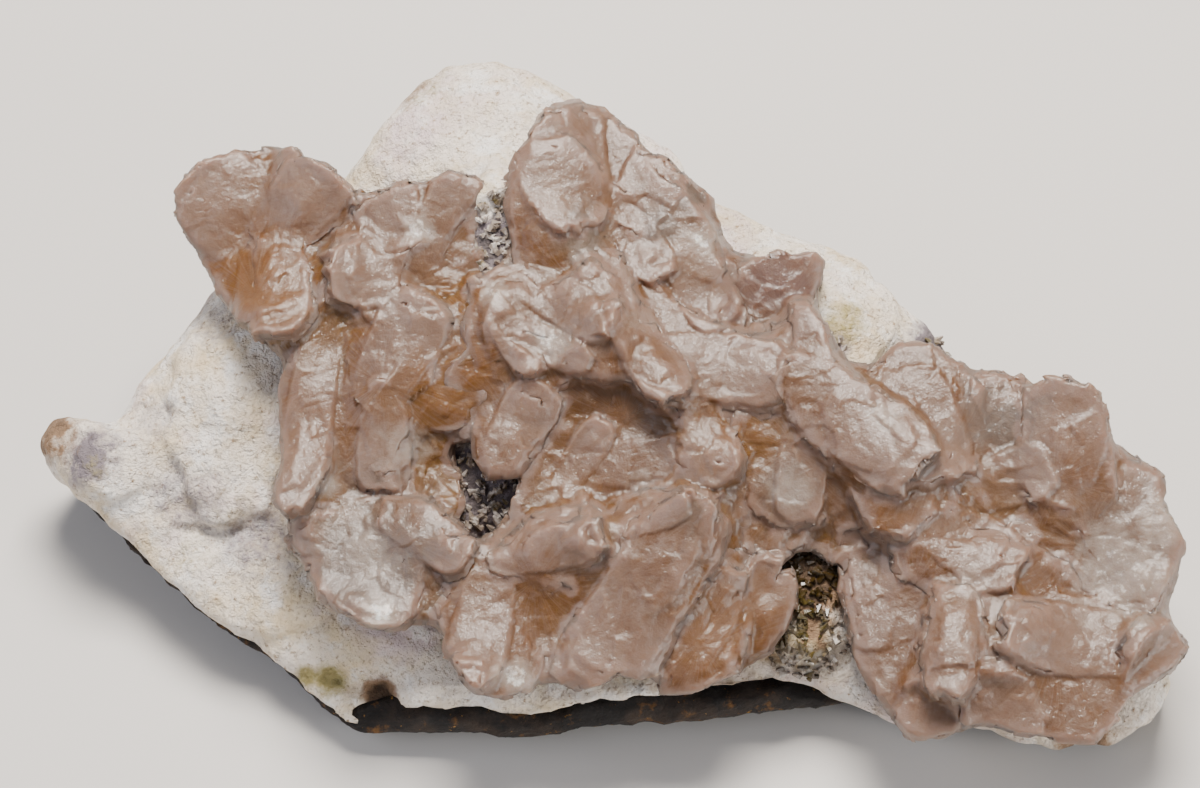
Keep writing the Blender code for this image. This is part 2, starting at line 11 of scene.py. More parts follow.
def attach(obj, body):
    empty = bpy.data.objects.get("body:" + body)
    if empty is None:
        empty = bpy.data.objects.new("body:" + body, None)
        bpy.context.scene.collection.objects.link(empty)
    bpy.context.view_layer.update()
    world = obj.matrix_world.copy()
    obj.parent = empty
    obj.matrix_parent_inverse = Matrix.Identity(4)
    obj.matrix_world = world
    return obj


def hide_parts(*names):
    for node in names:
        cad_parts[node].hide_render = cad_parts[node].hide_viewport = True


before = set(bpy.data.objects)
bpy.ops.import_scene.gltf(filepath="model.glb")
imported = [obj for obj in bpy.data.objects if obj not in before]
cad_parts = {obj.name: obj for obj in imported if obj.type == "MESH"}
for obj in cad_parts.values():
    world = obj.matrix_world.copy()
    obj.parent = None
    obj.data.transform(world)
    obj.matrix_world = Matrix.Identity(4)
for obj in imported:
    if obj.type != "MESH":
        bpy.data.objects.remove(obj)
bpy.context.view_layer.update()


# Basalt base
# A slab of the lava flow that the specimen was broken from. The rock is fine-grained and nearly black,
# with rusty specks where its iron has weathered, and its broken sides are rough.

# Sizes are in millimetres, unless a comment gives another unit
MM = 0.001
# The face frame: right, up along the tilted crystal face, and out of it
FACE_TILT = math.radians(35.0)
FACE_ORIGIN = np.array((0.3, -3.857, 27.467))
FACE_AXES = np.array((
    (1.0, 0.0, 0.0),
    (0.0, math.cos(FACE_TILT), math.sin(FACE_TILT)),
    (0.0, -math.sin(FACE_TILT), math.cos(FACE_TILT)),
))
# The grain of every speckle
SPECKLE = {"Detail": 4.0, "Roughness": 0.65}
# The size of the specks along the edge of a stain, and how far they blur it
RAGGED_EDGE = 0.9
RAGGED_SHARE = 0.7
# Vertices closer than this are one
MERGE_DISTANCE = 0.001
# How far each seed shifts the noise
SEED_STEPS = (17.3, 5.1, 11.7)
# Smoothing: the first rounds go over everything, and the later ones spare the rims
FIRST_ROUNDS = 3
FIRST_PULL = 0.5
LATER_PULL = 0.6


def to_face(points):
    """Places in metres to the face frame."""
    return (points / MM - FACE_ORIGIN) @ FACE_AXES.T


def to_row(points):
    """Places in the face frame to metres."""
    return (np.asarray(points) @ FACE_AXES + FACE_ORIGIN) * MM


def linear(code):
    """An sRGB hex colour as linear red, green, blue and alpha."""
    shares = [int(code[place:place + 2], 16) / 255 for place in (1, 3, 5)]
    curved = [share / 12.92 if share <= 0.04045 else ((share + 0.055) / 1.055) ** 2.4 for share in shares]
    return (*curved, 1.0)


def add_node(material, kind, settings=(), inputs=()):
    """One node with its settings and its inputs, where an input is a value or the socket that feeds it."""
    made = material.node_tree.nodes.new(kind)
    for name, value in dict(settings).items():
        setattr(made, name, value)
    for name, value in dict(inputs).items():
        if isinstance(value, bpy.types.NodeSocket):
            material.node_tree.links.new(value, made.inputs[name])
        else:
            made.inputs[name].default_value = value
    return made


def layered(material, colour, layers):
    """The colour under thin tints, each with its source and the values where it starts and where it is full.

    A source is the size of a speckle in millimetres, or the name of a value that the mesh carries.
    """
    place = add_node(material, "ShaderNodeTexCoord").outputs["Object"]
    for tint, source, low, high in layers:
        size = RAGGED_EDGE if isinstance(source, str) else source
        grain = {"Vector": place, "Scale": 1.0 / (size * MM), **SPECKLE}
        value = add_node(material, "ShaderNodeTexNoise", {}, grain).outputs["Fac"]
        if isinstance(source, str):
            carried = add_node(material, "ShaderNodeAttribute", {"attribute_name": source}).outputs["Fac"]
            ragged = {0: value, 1: RAGGED_SHARE, 2: carried}
            value = add_node(material, "ShaderNodeMath", {"operation": "MULTIPLY_ADD"}, ragged).outputs[0]
        window = {"Value": value, "From Min": low, "From Max": high}
        share = add_node(material, "ShaderNodeMapRange", {}, window).outputs["Result"]
        tints = {0: share, 6: colour, 7: linear(tint)}
        colour = add_node(material, "ShaderNodeMix", {"data_type": "RGBA"}, tints).outputs[2]
    return colour


def finely_rough(material, shader, layers):
    """Relief too fine for the mesh: each layer has the size and the depth of its grains, in millimetres."""
    place = add_node(material, "ShaderNodeTexCoord").outputs["Object"]
    under = {}
    for size, depth in layers:
        grain = {"Vector": place, "Scale": 1.0 / (size * MM), **SPECKLE}
        height = add_node(material, "ShaderNodeTexNoise", {}, grain).outputs["Fac"]
        bump = add_node(material, "ShaderNodeBump", {}, {"Height": height, "Distance": depth * MM, **under})
        under = {"Normal": bump.outputs["Normal"]}
    material.node_tree.links.new(under["Normal"], shader.inputs["Normal"])


def new_material(name, finish):
    """A new material whose shader has this finish, and that shader."""
    made = bpy.data.materials.new(name)
    made.use_nodes = True
    shader = made.node_tree.nodes["Principled BSDF"]
    for socket, value in finish.items():
        shader.inputs[socket].default_value = value
    return made, shader


def node_shape(node):
    """A CAD node's shape as one merged body."""
    bm = bmesh.new()
    bm.from_mesh(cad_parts[node].data)
    bmesh.ops.remove_doubles(bm, verts=bm.verts, dist=MERGE_DISTANCE * MM)
    return bm


def reshape(piece, kind, settings):
    """Run one modifier over the piece and keep its result as the piece's mesh."""
    step = piece.modifiers.new("step", kind)
    for name, value in settings.items():
        setattr(step, name, value)
    bpy.context.view_layer.update()
    made = bpy.data.meshes.new_from_object(piece.evaluated_get(bpy.context.evaluated_depsgraph_get()))
    piece.modifiers.clear()
    piece.data = made


def even_piece(name, bm, voxel):
    """A new piece whose bodies are fused in an even mesh, with edges of this many millimetres."""
    mesh = bpy.data.meshes.new(name)
    bm.to_mesh(mesh)
    bm.free()
    piece = bpy.data.objects.new(name, mesh)
    bpy.context.scene.collection.objects.link(piece)
    reshape(piece, "REMESH", {"mode": "VOXEL", "voxel_size": voxel * MM})
    return piece


def points_of(piece):
    """The piece's vertices in the face frame."""
    flat = np.empty(len(piece.data.vertices) * 3)
    piece.data.vertices.foreach_get("co", flat)
    return to_face(flat.reshape(-1, 3))


def normals_of(piece):
    """The directions that the piece's surface faces, in the face frame."""
    flat = np.empty(len(piece.data.vertices) * 3)
    piece.data.vertices.foreach_get("normal", flat)
    return flat.reshape(-1, 3) @ FACE_AXES.T


def move_to(piece, points):
    """Give the piece's vertices these places in the face frame."""
    piece.data.vertices.foreach_set("co", to_row(points).ravel())
    piece.data.update()


def drift(points, size, seed):
    """Smooth noise from about -1 to 1, whose swells are this many millimetres across."""
    shift = Vector([seed * step for step in SEED_STEPS])
    return np.array([noise.noise(Vector(point) / size + shift) for point in points])


def neighbours(piece):
    """The two ends of every edge, and how many edges meet at each vertex."""
    ends = np.empty(len(piece.data.edges) * 2, int)
    piece.data.edges.foreach_get("vertices", ends)
    first, second = ends.reshape(-1, 2).T
    count = len(piece.data.vertices)
    return first, second, np.bincount(first, minlength=count) + np.bincount(second, minlength=count)


def relaxed(piece, rounds, rim):
    """The vertices smoothed over, except at rims, which stand off their neighbours by more than this."""
    points = points_of(piece)
    first, second, links = neighbours(piece)
    count = len(points)

    def pull():
        total = np.empty_like(points)
        for axis in range(3):
            total[:, axis] = np.bincount(first, points[second, axis], count)
            total[:, axis] += np.bincount(second, points[first, axis], count)
        return total / links[:, None] - points

    for _ in range(FIRST_ROUNDS):
        points += pull() * FIRST_PULL
    stand = np.linalg.norm(pull(), axis=1) / rim
    give = LATER_PULL / (1.0 + stand ** 4)
    for _ in range(rounds):
        points += pull() * give[:, None]
    return points


def dress(piece, material, node):
    """Finish a piece that stands for a CAD node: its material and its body."""
    piece.data.materials.clear()
    piece.data.materials.append(material)
    piece.data.polygons.foreach_set("use_smooth", [True] * len(piece.data.polygons))
    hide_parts(node)
    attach(piece, "root")


BASALT_VOXEL = 0.8
BASALT_ROUNDS = 8
BASALT_RIM = 0.3
BASALT_LUMP = 5.0
BASALT_LUMP_HEIGHT = 1.1
BASALT_GRAIN = 1.6
BASALT_GRAIN_HEIGHT = 0.5
# Below this height the relief fades out, so that the foot stays flat on the floor
BASALT_FOOT = 1.5

basalt = even_piece("basalt_slab", node_shape("basalt_base"), BASALT_VOXEL)
points = relaxed(basalt, BASALT_ROUNDS, BASALT_RIM)
move_to(basalt, points)
inward = -normals_of(basalt)
rough = np.abs(drift(points, BASALT_LUMP, 1)) * BASALT_LUMP_HEIGHT
rough += np.abs(drift(points, BASALT_GRAIN, 2)) * BASALT_GRAIN_HEIGHT
floor_height = points @ np.array((0.0, math.sin(FACE_TILT), math.cos(FACE_TILT))) + FACE_ORIGIN[2]
rough *= np.clip(floor_height / BASALT_FOOT, 0.0, 1.0)
move_to(basalt, points + inward * rough[:, None])

# Basalt: a dense, matt black-brown lava. Its grains are too fine to see, so that what shows is broken
# relief, brown weathering in patches, and rusty specks.
basalt_rock, shader = new_material("basalt_broken", {"Roughness": 0.88})
colour = layered(basalt_rock, linear("#1E1A18"), [
    ("#3B2F26", 7.0, 0.45, 0.65),
    ("#6B4A26", 3.0, 0.58, 0.68),
    ("#B0813A", 1.1, 0.66, 0.72),
])
basalt_rock.node_tree.links.new(colour, shader.inputs["Base Color"])
finely_rough(basalt_rock, shader, [(1.2, 0.9), (0.4, 0.25)])
dress(basalt, basalt_rock, "basalt_base")


# White crust
# A rind of fine-grained white zeolite and chalcedony that lined the cavity before the crystals grew. It is
# chalky, in low domes and lumps, with grey-violet and yellow-green stains of clay and iron.

CRUST_VOXEL = 0.62
CRUST_ROUNDS = 10
CRUST_RIM = 0.25
# The slope and level that tell the crust's front from its sides
CRUST_FRONT = (4.0, 0.0)
CRUST_LUMP = 8.0
CRUST_LUMP_HEIGHT = 0.8
CRUST_GRAIN = 1.7
CRUST_GRAIN_HEIGHT = 0.22
# Creases between the lumps: how far apart, how deep, how wide, and how strongly a finer run of them shows
CRUST_FOLD = 11.0
CRUST_FOLD_HEIGHT = 1.3
CRUST_FOLD_WIDTH = 0.35
CRUST_FOLD_DETAIL = 0.4
# How far each stain and each painted highlight reaches, in radii, and the size and depth of its edge's
# fraying and swaying
MARK_REACH = 1.5
MARK_FRAY = 1.6
MARK_FRAY_DEPTH = 0.35
MARK_SWAY = 4.5
MARK_SWAY_DEPTH = 0.4
# Stains: middle, radius, and how strong
GREY_STAINS = [
    ((-13.5, 19.5), 4.0, 1.0), ((29.0, 6.0), 3.2, 0.8), ((43.0, 6.5), 3.6, 0.9), ((-16.0, -10.5), 6.5, 1.0),
    ((-64.5, -7.5), 3.5, 0.8), ((-52.0, -13.0), 5.5, 0.45), ((-44.0, -17.5), 5.0, 0.5),
    ((-57.0, -3.0), 4.0, 0.35), ((-50.0, 9.0), 4.0, 0.3), ((-27.4, -37.2), 1.8, 1.0),
    ((24.0, -24.0), 6.0, 0.7), ((-21.0, 40.0), 6.0, 0.15),
]
GREEN_STAINS = [
    ((31.5, 10.0), 3.4, 0.55), ((29.5, -14.5), 4.0, 1.0), ((-34.0, -35.3), 2.0, 0.8),
    ((25.0, -28.0), 5.0, 0.6), ((-23.0, 42.5), 4.5, 0.35), ((-63.5, -8.5), 2.6, 0.3),
    ((-37.0, -34.8), 1.6, 0.7), ((-52.0, -19.0), 4.0, 0.3), ((-47.0, -14.0), 4.0, 0.25),
]
BROWN_STAINS = [
    ((-71.0, -3.5), 4.2, 0.75), ((61.0, -43.0), 3.5, 0.8), ((-27.5, -37.3), 2.0, 1.0),
    ((24.5, -22.5), 8.0, 1.0), ((66.0, -40.0), 4.0, 0.35), ((-27.0, 42.0), 3.0, 0.6),
]


def carry(piece, name, values):
    """Store one value for each vertex, for the material to read."""
    made = piece.data.attributes.new(name, "FLOAT", "POINT")
    made.data.foreach_set("value", np.asarray(values, np.float32))


def carry_stains_and_highlights(piece, kinds):
    """Store how strongly each kind of stain, and each painted highlight, colours each point, with ragged
    edges.
    """
    points = points_of(piece)
    edge = drift(points, MARK_FRAY, 5) * MARK_FRAY_DEPTH + drift(points, MARK_SWAY, 6) * MARK_SWAY_DEPTH
    for name, marks in kinds.items():
        total = np.zeros(len(points))
        for (x, up), radius, strength in marks:
            away = np.hypot(points[:, 0] - x, points[:, 1] - up) / radius
            total = np.maximum(total, np.clip(MARK_REACH - away + edge, 0.0, 1.0) * strength)
        carry(piece, name, total)


def oval_distance(points, middle, half_sizes):
    """How far each point lies from the middle of an oval on the face, whose edge is at 1."""
    return np.hypot((points[:, 0] - middle[0]) / half_sizes[0], (points[:, 1] - middle[1]) / half_sizes[1])


def front_share(piece, slope, level):
    """How much each vertex belongs to the front: 0 on a side, and 1 where it faces well outward."""
    return np.clip(normals_of(piece)[:, 2] * slope + level, 0.0, 1.0)


# Broad lobes of the crust, and its floors in the open hollows: middle, half sizes, rise and softness
LOBES = [
    ((-46.5, -0.5), (8.5, 15.0), 1.5, 0.15), ((-44.0, -24.0), (11.0, 5.5), 0.9, 0.3),
    ((-17.0, 35.0), (15.0, 8.5), 1.0, 0.3), ((31.5, 10.5), (7.5, 6.5), 1.2, 0.25),
    ((-10.0, -38.0), (17.0, 3.5), 0.8, 0.3), ((-62.0, -8.0), (5.0, 4.5), 0.9, 0.2),
    ((-12.7, 21.0), (6.5, 9.0), 10.0, 0.8), ((-16.2, -9.8), (7.0, 8.0), 6.0, 0.8),
    ((25.0, -23.0), (8.0, 10.0), 5.0, 0.8),
]
# How far the edges of lobes and pits wander, and over what length
LOBE_WANDER = 0.16
LOBE_WANDER_SIZE = 3.5
# Pits, some in a chain for the crack along the lower left edge: middle, half sizes and depth
PITS = [
    ((-27.4, -37.2), (1.9, 1.3), 1.8), ((-30.5, -36.2), (1.8, 0.7), 0.8), ((-33.5, -35.4), (1.9, 0.6), 0.8),
    ((-36.6, -34.8), (2.0, 0.6), 0.7), ((-49.0, -16.5), (5.0, 0.7), 0.6), ((-39.0, -21.0), (6.0, 0.6), 0.5),
    ((60.5, -43.0), (1.3, 1.0), 1.2), ((-12.0, -33.5), (4.0, 0.5), 0.6), ((8.5, -37.0), (0.6, 2.0), 0.9),
]
# How far a pit reaches, in half sizes
PIT_REACH = 1.4

crust = even_piece("white_crust_rind", node_shape("white_crust"), CRUST_VOXEL)
points = relaxed(crust, CRUST_ROUNDS, CRUST_RIM)
on_face = front_share(crust, *CRUST_FRONT)
wander = 1.0 + LOBE_WANDER * drift(points, LOBE_WANDER_SIZE, 9)
for middle, half_sizes, rise, softness in LOBES:
    away = oval_distance(points, middle, half_sizes) * wander
    share = np.clip((1.0 + softness / 2 - away) / softness, 0.0, 1.0)
    points[:, 2] += rise * share ** 2 * (3.0 - 2.0 * share) * on_face
for middle, half_sizes, depth in PITS:
    away = oval_distance(points, middle, half_sizes) * wander
    points[:, 2] -= depth * np.clip(PIT_REACH - away, 0.0, 1.0) * on_face
move_to(crust, points)
facing = normals_of(crust)
across = drift(points, CRUST_FOLD, 7) + CRUST_FOLD_DETAIL * drift(points, CRUST_FOLD / 3, 8)
folds = CRUST_FOLD_WIDTH - np.abs(across)
relief = drift(points, CRUST_LUMP, 3) * CRUST_LUMP_HEIGHT
relief += drift(points, CRUST_GRAIN, 4) * CRUST_GRAIN_HEIGHT
relief -= np.clip(folds, 0.0, 1.0) * CRUST_FOLD_HEIGHT
move_to(crust, points + facing * relief[:, None])
carry_stains_and_highlights(crust, {"grey_stain": GREY_STAINS, "green_stain": GREEN_STAINS, "brown_stain": BROWN_STAINS})

# Chalky zeolite: white to cream, fully matt, with a fine sugary grain that catches the light.
chalk, shader = new_material("chalky_zeolite", {"Roughness": 0.85})
colour = layered(chalk, linear("#F3E7D8"), [
    ("#E2CDA9", 9.0, 0.44, 0.66),
    ("#E6D3D0", 17.0, 0.50, 0.66),
    ("#FBF6EF", 5.0, 0.50, 0.66),
    ("#A58D70", 0.8, 0.56, 0.70),
    ("#8C8186", "grey_stain", 0.55, 1.0),
    ("#4E4643", "grey_stain", 0.95, 1.5),
    ("#A89A66", "green_stain", 0.55, 1.0),
    ("#5C5226", "green_stain", 0.95, 1.5),
    ("#94765A", "brown_stain", 0.55, 1.0),
    ("#33261C", "brown_stain", 0.95, 1.5),
])
chalk.node_tree.links.new(colour, shader.inputs["Base Color"])
finely_rough(chalk, shader, [(2.6, 1.2), (0.9, 0.7), (0.4, 0.25)])
dress(crust, chalk, "white_crust")


# Heulandite crystals
# Sheaves of curved, waxy blades that grew out of the crust and into each other. Each blade is a stack of
# thin plates with a pearly front, and iron has stained the mass amber where the blades meet. Deeper in
# the recesses between the blades the amber is painted darker, as shade.

CRYSTAL_VOXEL = 0.28
# The CAD's clusters, and the pieces that stand for them
CLUSTERS = {
    "upper_left_fan": "fan_upper_left",
    "left_cluster": "blades_left",
    "centre_cluster": "blades_centre",
    "small_lower_cluster": "blades_small_lower",
    "right_cluster": "blades_right",
}
# Where the plates of each sheaf spread from
SHEAF_ROOTS = {
    "upper_left_fan": [(-43, 13)],
    "left_cluster": [(-22, 15), (-36, 2), (-27, 2), (-24, -17)],
    "centre_cluster": [(-2, 14), (-8, 8), (4, 12), (-10, -3), (3, -2), (-8, -22), (3, -21)],
    "small_lower_cluster": [(12, -30)],
    "right_cluster": [(23, 10), (30, 2), (24, -6), (42, -8), (56, -10), (60, -18), (38, -24), (55, -31)],
}
# Open drusy hollows: middle and half sizes, and how far and how finely their edges wander
HOLLOWS = [((-12.7, 19.5), (2.8, 6.5)), ((-16.2, -10.8), (5.2, 5.6)), ((25.5, -26.0), (6.0, 8.0))]
HOLLOW_WANDER = 0.35
HOLLOW_WANDER_SIZE = 2.5
# A blade's front in the CAD: how far its faces look outward, how far each may turn from the next, its
# least area in square millimetres, and how far it is flattened
FRONT_FACING = 0.5
FRONT_TURN = math.radians(32.0)
LEAST_FRONT = 5.0
FRONT_FLATNESS = 0.3
# The plate on that front: the share that it covers and how that varies, how near it lies to a corner, how
# far it stands above the front, and how deep it reaches
PLATE_SHARE = 0.84
PLATE_VARIETY = (0.92, 1.08)
PLATE_ANCHOR = (0.7, 1.0)
PLATE_STEP = 0.45
PLATE_DEPTH = 2.5
# The petals are the large plates that show. Each has its middle, its heading in degrees, its length and
# width, how far it stands over the brows, which are the fronts around it with their gaps bridged, and how
# far it bends
PETALS = {
    "upper_left_fan": [
        (-47.6, 24.6, 150, 12.5, 15.0, 0.2, 0.6), (-38.0, 25.6, 55, 13.0, 11.5, 0.4, 0.6),
        (-41.2, 15.0, -85, 13.1, 10.0, 0.5, 0.8),
    ],
    "left_cluster": [
        (-24.8, 16.2, 185, 16.9, 9.0, 0.6, 0.8), (-26.5, 23.1, 110, 8.8, 9.2, 0.2, 0.5),
        (-19.4, 24.8, 60, 10.0, 6.2, 0.3, 0.5), (-25.2, 6.0, 62, 14.0, 9.5, 0.6, 0.7),
        (-26.9, -4.8, -90, 11.9, 7.0, 0.5, 0.8), (-36.0, -0.6, -98, 24.4, 6.5, 0.4, 0.9),
        (-20.5, -12.5, -50, 9.8, 5.0, -0.3, 0.4), (-28.5, -20.0, -110, 14.8, 15.6, 0.3, 0.7),
        (-21.2, -16.2, -30, 11.0, 7.2, 0.5, 0.5), (-33.5, -16.2, -170, 8.2, 5.5, 0.3, 0.4),
    ],
    "centre_cluster": [
        (-11.8, 9.2, -60, 12.5, 4.4, 0.5, 0.7), (-7.0, 7.2, -28, 11.5, 4.8, 0.5, 0.7),
        (-5.0, 12.5, -30, 14.0, 6.5, 0.8, 0.8), (4.2, 8.8, -64, 17.8, 6.8, 1.0, 0.9),
        (13.5, 4.2, -6, 18.5, 9.2, 0.7, 0.7), (12.5, 15.0, -62, 12.0, 7.8, 0.4, 0.6),
        (-5.0, 30.0, 100, 16.2, 13.1, 0.3, 0.8), (6.2, 26.9, 60, 11.2, 8.8, 0.3, 0.6),
        (5.0, 20.0, -60, 10.0, 6.2, 0.3, 0.5), (-10.0, -3.5, 60, 11.5, 7.5, 0.5, 0.8),
        (7.0, -7.8, 2, 18.5, 7.2, 0.3, 0.8), (-2.2, -7.0, 58, 9.5, 4.8, 0.2, 0.5),
        (-14.2, -26.5, -102, 16.5, 7.8, 0.5, 1.0), (-6.5, -18.2, 14, 12.5, 5.8, 0.8, 0.8),
        (5.2, -23.8, -122, 23.8, 11.5, 0.8, 1.2), (4.5, -14.5, 18, 12.0, 4.5, 0.1, 0.5),
        (13.2, -5.0, -70, 10.0, 5.5, 0.3, 0.5),
    ],
    "small_lower_cluster": [
        (13.2, -27.8, 62, 14.0, 6.2, 0.4, 0.6), (21.0, -25.2, 80, 10.8, 7.2, 0.2, 0.5),
    ],
    "right_cluster": [
        (30.8, -2.2, -40, 18.5, 10.5, 0.7, 0.8), (40.0, -2.5, -76, 14.8, 10.5, 0.3, 0.6),
        (49.4, -0.8, 80, 8.5, 7.8, -0.6, 0.3), (57.5, -4.0, 80, 16.0, 11.8, 0.4, 0.5),
        (66.0, -15.0, 0, 10.5, 15.5, 0.1, 0.5), (62.2, -20.8, -20, 13.5, 8.5, 0.3, 0.5),
        (45.0, -17.5, -30, 13.0, 9.0, 0.5, 0.9), (34.8, -24.0, 190, 10.5, 13.5, 0.2, 0.6),
        (42.9, -29.0, -98, 12.0, 6.2, 0.4, 0.2), (60.5, -29.5, 175, 21.0, 8.8, 0.6, 0.8),
        (45.0, -36.8, -90, 8.8, 18.8, 0.0, 0.5), (67.5, -31.9, -20, 8.2, 10.5, 0.1, 0.5),
        (25.0, -7.5, -95, 13.8, 6.5, 0.3, 0.6), (50.0, -10.0, 20, 11.2, 7.5, 0.1, 0.5),
    ],
}
# How a petal is set: its growth past the size given, its seat on the brows, and its outer end's lift
PETAL_GROWTH = 1.15
PETAL_SEAT = -0.8
PETAL_LIFT = math.radians(8.0)
# Its plates: how many, how far each draws back from the last and stands above it, and how thick they are
PETAL_LAYERS = 2
PETAL_LAYER = (1.3, 0.2)
PETAL_THICKNESS = 2.4
# A plate's shape: its grid, how far it narrows to its root and at its corners, and from where, how far it
# curls sideways, how far it domes, and how uneven its rim and its front are
PETAL_CELLS = (8, 5)
PETAL_TAPER = 0.35
PETAL_CORNER = 0.4
PETAL_SHOULDER = 0.62
PETAL_CURL = 0.12
PETAL_DOME = 0.85
PETAL_JITTER = 0.07
PETAL_FACET = 0.06
# Where along a plate its bend and its curl are nil, as shares of its half length, squared
BEND_NIL = 0.4
CURL_NIL = 0.3
# Past the covered cells a petal is cut back, in steps of this share
PETAL_TRIM = 0.08
# Small petals fill the gaps: a gap's least depth, how far apart and how deep they stand, their lengths,
# their breadths and the sizes that are tried, as shares of the length, and their bend
PETAL_GAP = 1.4
PETAL_SPACING = 3.6
PETAL_DEPTHS = (-1.8, -0.6)
PETAL_LENGTHS = (7.0, 13.0)
PETAL_BREADTHS = (0.5, 0.75)
PETAL_TRIES = (1.0, 0.8, 0.62, 0.45)
GAP_BEND = 0.5
# The drawn petals again, raised over the grown mass: how high they rise outward, the width of their edge
# and pale rim as shares of the half size, how pale they are, and the size and depth of their teeth
PETAL_RISE = 0.65
PETAL_EDGE = 0.09
PETAL_RIM = 0.22
PETAL_PALE = 0.15
PETAL_RIM_PALE = 0.35
PETAL_TEETH = 1.3
PETAL_TOOTH = 0.06
# The growth of the whole mass: swells over it, jogs in the layers along its sides, how far its back grows
# into the crust, and how crisp its edges get
SWELL_SIZE = 9.0
SWELL_HEIGHT = 0.4
JOG_CELL = (2.4, 2.4, 1.1)
JOG_WIDTH = 0.4
SEATING = 0.35
CRISP_ROUNDS = 4
CRISP_SPREAD = 0.3
TINY = 1e-9
# Facets of a front: their size, their tilt and the steps between them, and what shuffles the tilts
FACETS = [(5.0, 0.08, 0.04), (1.7, 0.05, 0.02)]
FACET_SHUFFLE = 97.3
# Ridges that spread from a root: their width this far out, their length and height, and where they start
RIDGE_ARM = 10.0
RIDGE_WIDTH = 2.4
RIDGE_LENGTH = 16.0
RIDGE_HEIGHT = 0.12
RIDGE_START = 4.0
# Keeps the patterns of two sheaves apart
SHEAF_SHIFT = 40.0
# The slope and level that tell fronts from sides, for the growth, the valleys and the facets
GROWTH_FRONT = (1.6, -0.5)
VALLEY_FRONT = (2.0, 1.0)
FACET_FRONT = (1.6, -0.3)
# The face map: the even mesh it is measured on, its cells, its reach from the middle, and its height where
# nothing stands
GUIDE_VOXEL = 0.5
MAP_CELL = 0.5
MAP_REACH = (82.0, 52.0)
NOWHERE = -60.0
# Gaps up to twice this wide are bridged, a cell belongs to the cluster with the most cells this near, and
# each cluster reaches this far into the cells of the next
GAP_REACH = 4.5
OWN_REACH = 4.0
SEAM = 1.5
# The brows are carried past the specimen's edge and blurred, and their slopes more so
BROW_EDGE = 3.0
BROW_BLUR = 1.0
SLOPE_BLUR = 4.0
# The bed: how far below the brows it lies, its cells and thickness, and how its border is smoothed
BED_DROP = 1.5
BED_CELL = 1.0
BED_THICKNESS = 6.0
BED_ROUNDS = 5
BED_PULL = 0.5
# How wide the valleys between blades are, and the share of their depth that is grown over
VALLEYS = [(2.0, 0.6), (5.0, 0.4)]
# How often a rim's bend is blurred along the mesh, and the bend of a full rim
RIM_ROUNDS = 14
RIM_BEND = 0.03
# Fine streaks that spread from a root: their width and length, and how far and how widely they bend
STRIA_WIDTH = 0.5
STRIA_LENGTH = 7.0
STRIA_BEND = 2.0
STRIA_BEND_SIZE = 7.0
# Flakes that break up the gloss
FLAKE_SIZE = 0.9
FLAKE_DEPTH = 0.35
MOST_TRIANGLES = 190000
OUTWARD = Vector(FACE_AXES[2])


def counts(cell):
    """How many cells of this size lie across the face map and up it."""
    return [int(2 * reach / cell) for reach in MAP_REACH]


def cells(points):
    """The face map's cell under each point."""
    across, upward = counts(MAP_CELL)
    column = np.clip(((points[:, 0] + MAP_REACH[0]) / MAP_CELL).astype(int), 0, across - 1)
    row = np.clip(((points[:, 1] + MAP_REACH[1]) / MAP_CELL).astype(int), 0, upward - 1)
    return column, row


def height_map(clouds):
    """How far the front of everything stands out, cell by cell over the face."""
    heights = np.full(counts(MAP_CELL), NOWHERE)
    for points in clouds:
        np.maximum.at(heights, cells(points), points[:, 2])
    return heights


def sampled(values, points):
    """The face map's value at each point, blended between the four cells around it."""
    place = (points[:, :2] + MAP_REACH) / MAP_CELL - 0.5
    low = np.clip(np.floor(place).astype(int), 0, np.array(values.shape) - 2)
    column, row = low.T
    right, up = np.clip(place - low, 0.0, 1.0).T
    below = values[column, row] * (1.0 - right) + values[column + 1, row] * right
    above = values[column, row + 1] * (1.0 - right) + values[column + 1, row + 1] * right
    return below * (1.0 - up) + above * up


def spread_out(values, reach, pick):
    """The map after each cell takes the highest, lowest or mean value within this many millimetres."""
    steps = round(reach / MAP_CELL)
    padded = np.pad(values, steps, mode="edge")
    across, upward = values.shape
    sides = range(-steps, steps + 1)
    near = [padded[steps + right:steps + right + across, steps + up:steps + up + upward]
            for right in sides for up in sides if math.hypot(right, up) <= steps]
    return pick(near, axis=0)


def closed_over(values, reach):
    """The map with every gap narrower than twice the reach bridged."""
    return spread_out(spread_out(values, reach, np.max), reach, np.min)


guides = {}
for node in CLUSTERS:
    guide = even_piece(f"{node}_guide", node_shape(node), GUIDE_VOXEL)
    guides[node] = points_of(guide)
    bpy.data.objects.remove(guide)
standing = {node: closed_over(height_map([points]), MAP_CELL) > NOWHERE for node, points in guides.items()}
open_cells = np.zeros(standing["left_cluster"].shape, bool)
flats = (np.argwhere(~open_cells) + 0.5) * MAP_CELL - MAP_REACH
wander = 1.0 + HOLLOW_WANDER * drift(np.pad(flats, ((0, 0), (0, 1))), HOLLOW_WANDER_SIZE, 21)
for middle, half_sizes in HOLLOWS:
    open_cells |= (oval_distance(flats, middle, half_sizes) * wander < 1.0).reshape(open_cells.shape)
covered = closed_over(np.any(list(standing.values()), axis=0), GAP_REACH) & ~open_cells
nearness = [spread_out(taken.astype(float), OWN_REACH, np.mean) for taken in standing.values()]
owner = np.argmax(nearness, axis=0)
fronts = height_map([points_of(crust), *guides.values()])
brows = closed_over(fronts, GAP_REACH)
brows = np.where(brows > NOWHERE, brows, spread_out(brows, BROW_EDGE, np.max))
brows = spread_out(brows, BROW_BLUR, np.mean)
gaps = brows - closed_over(fronts, MAP_CELL)
slopes = np.stack(np.gradient(spread_out(brows, SLOPE_BLUR, np.mean), MAP_CELL))


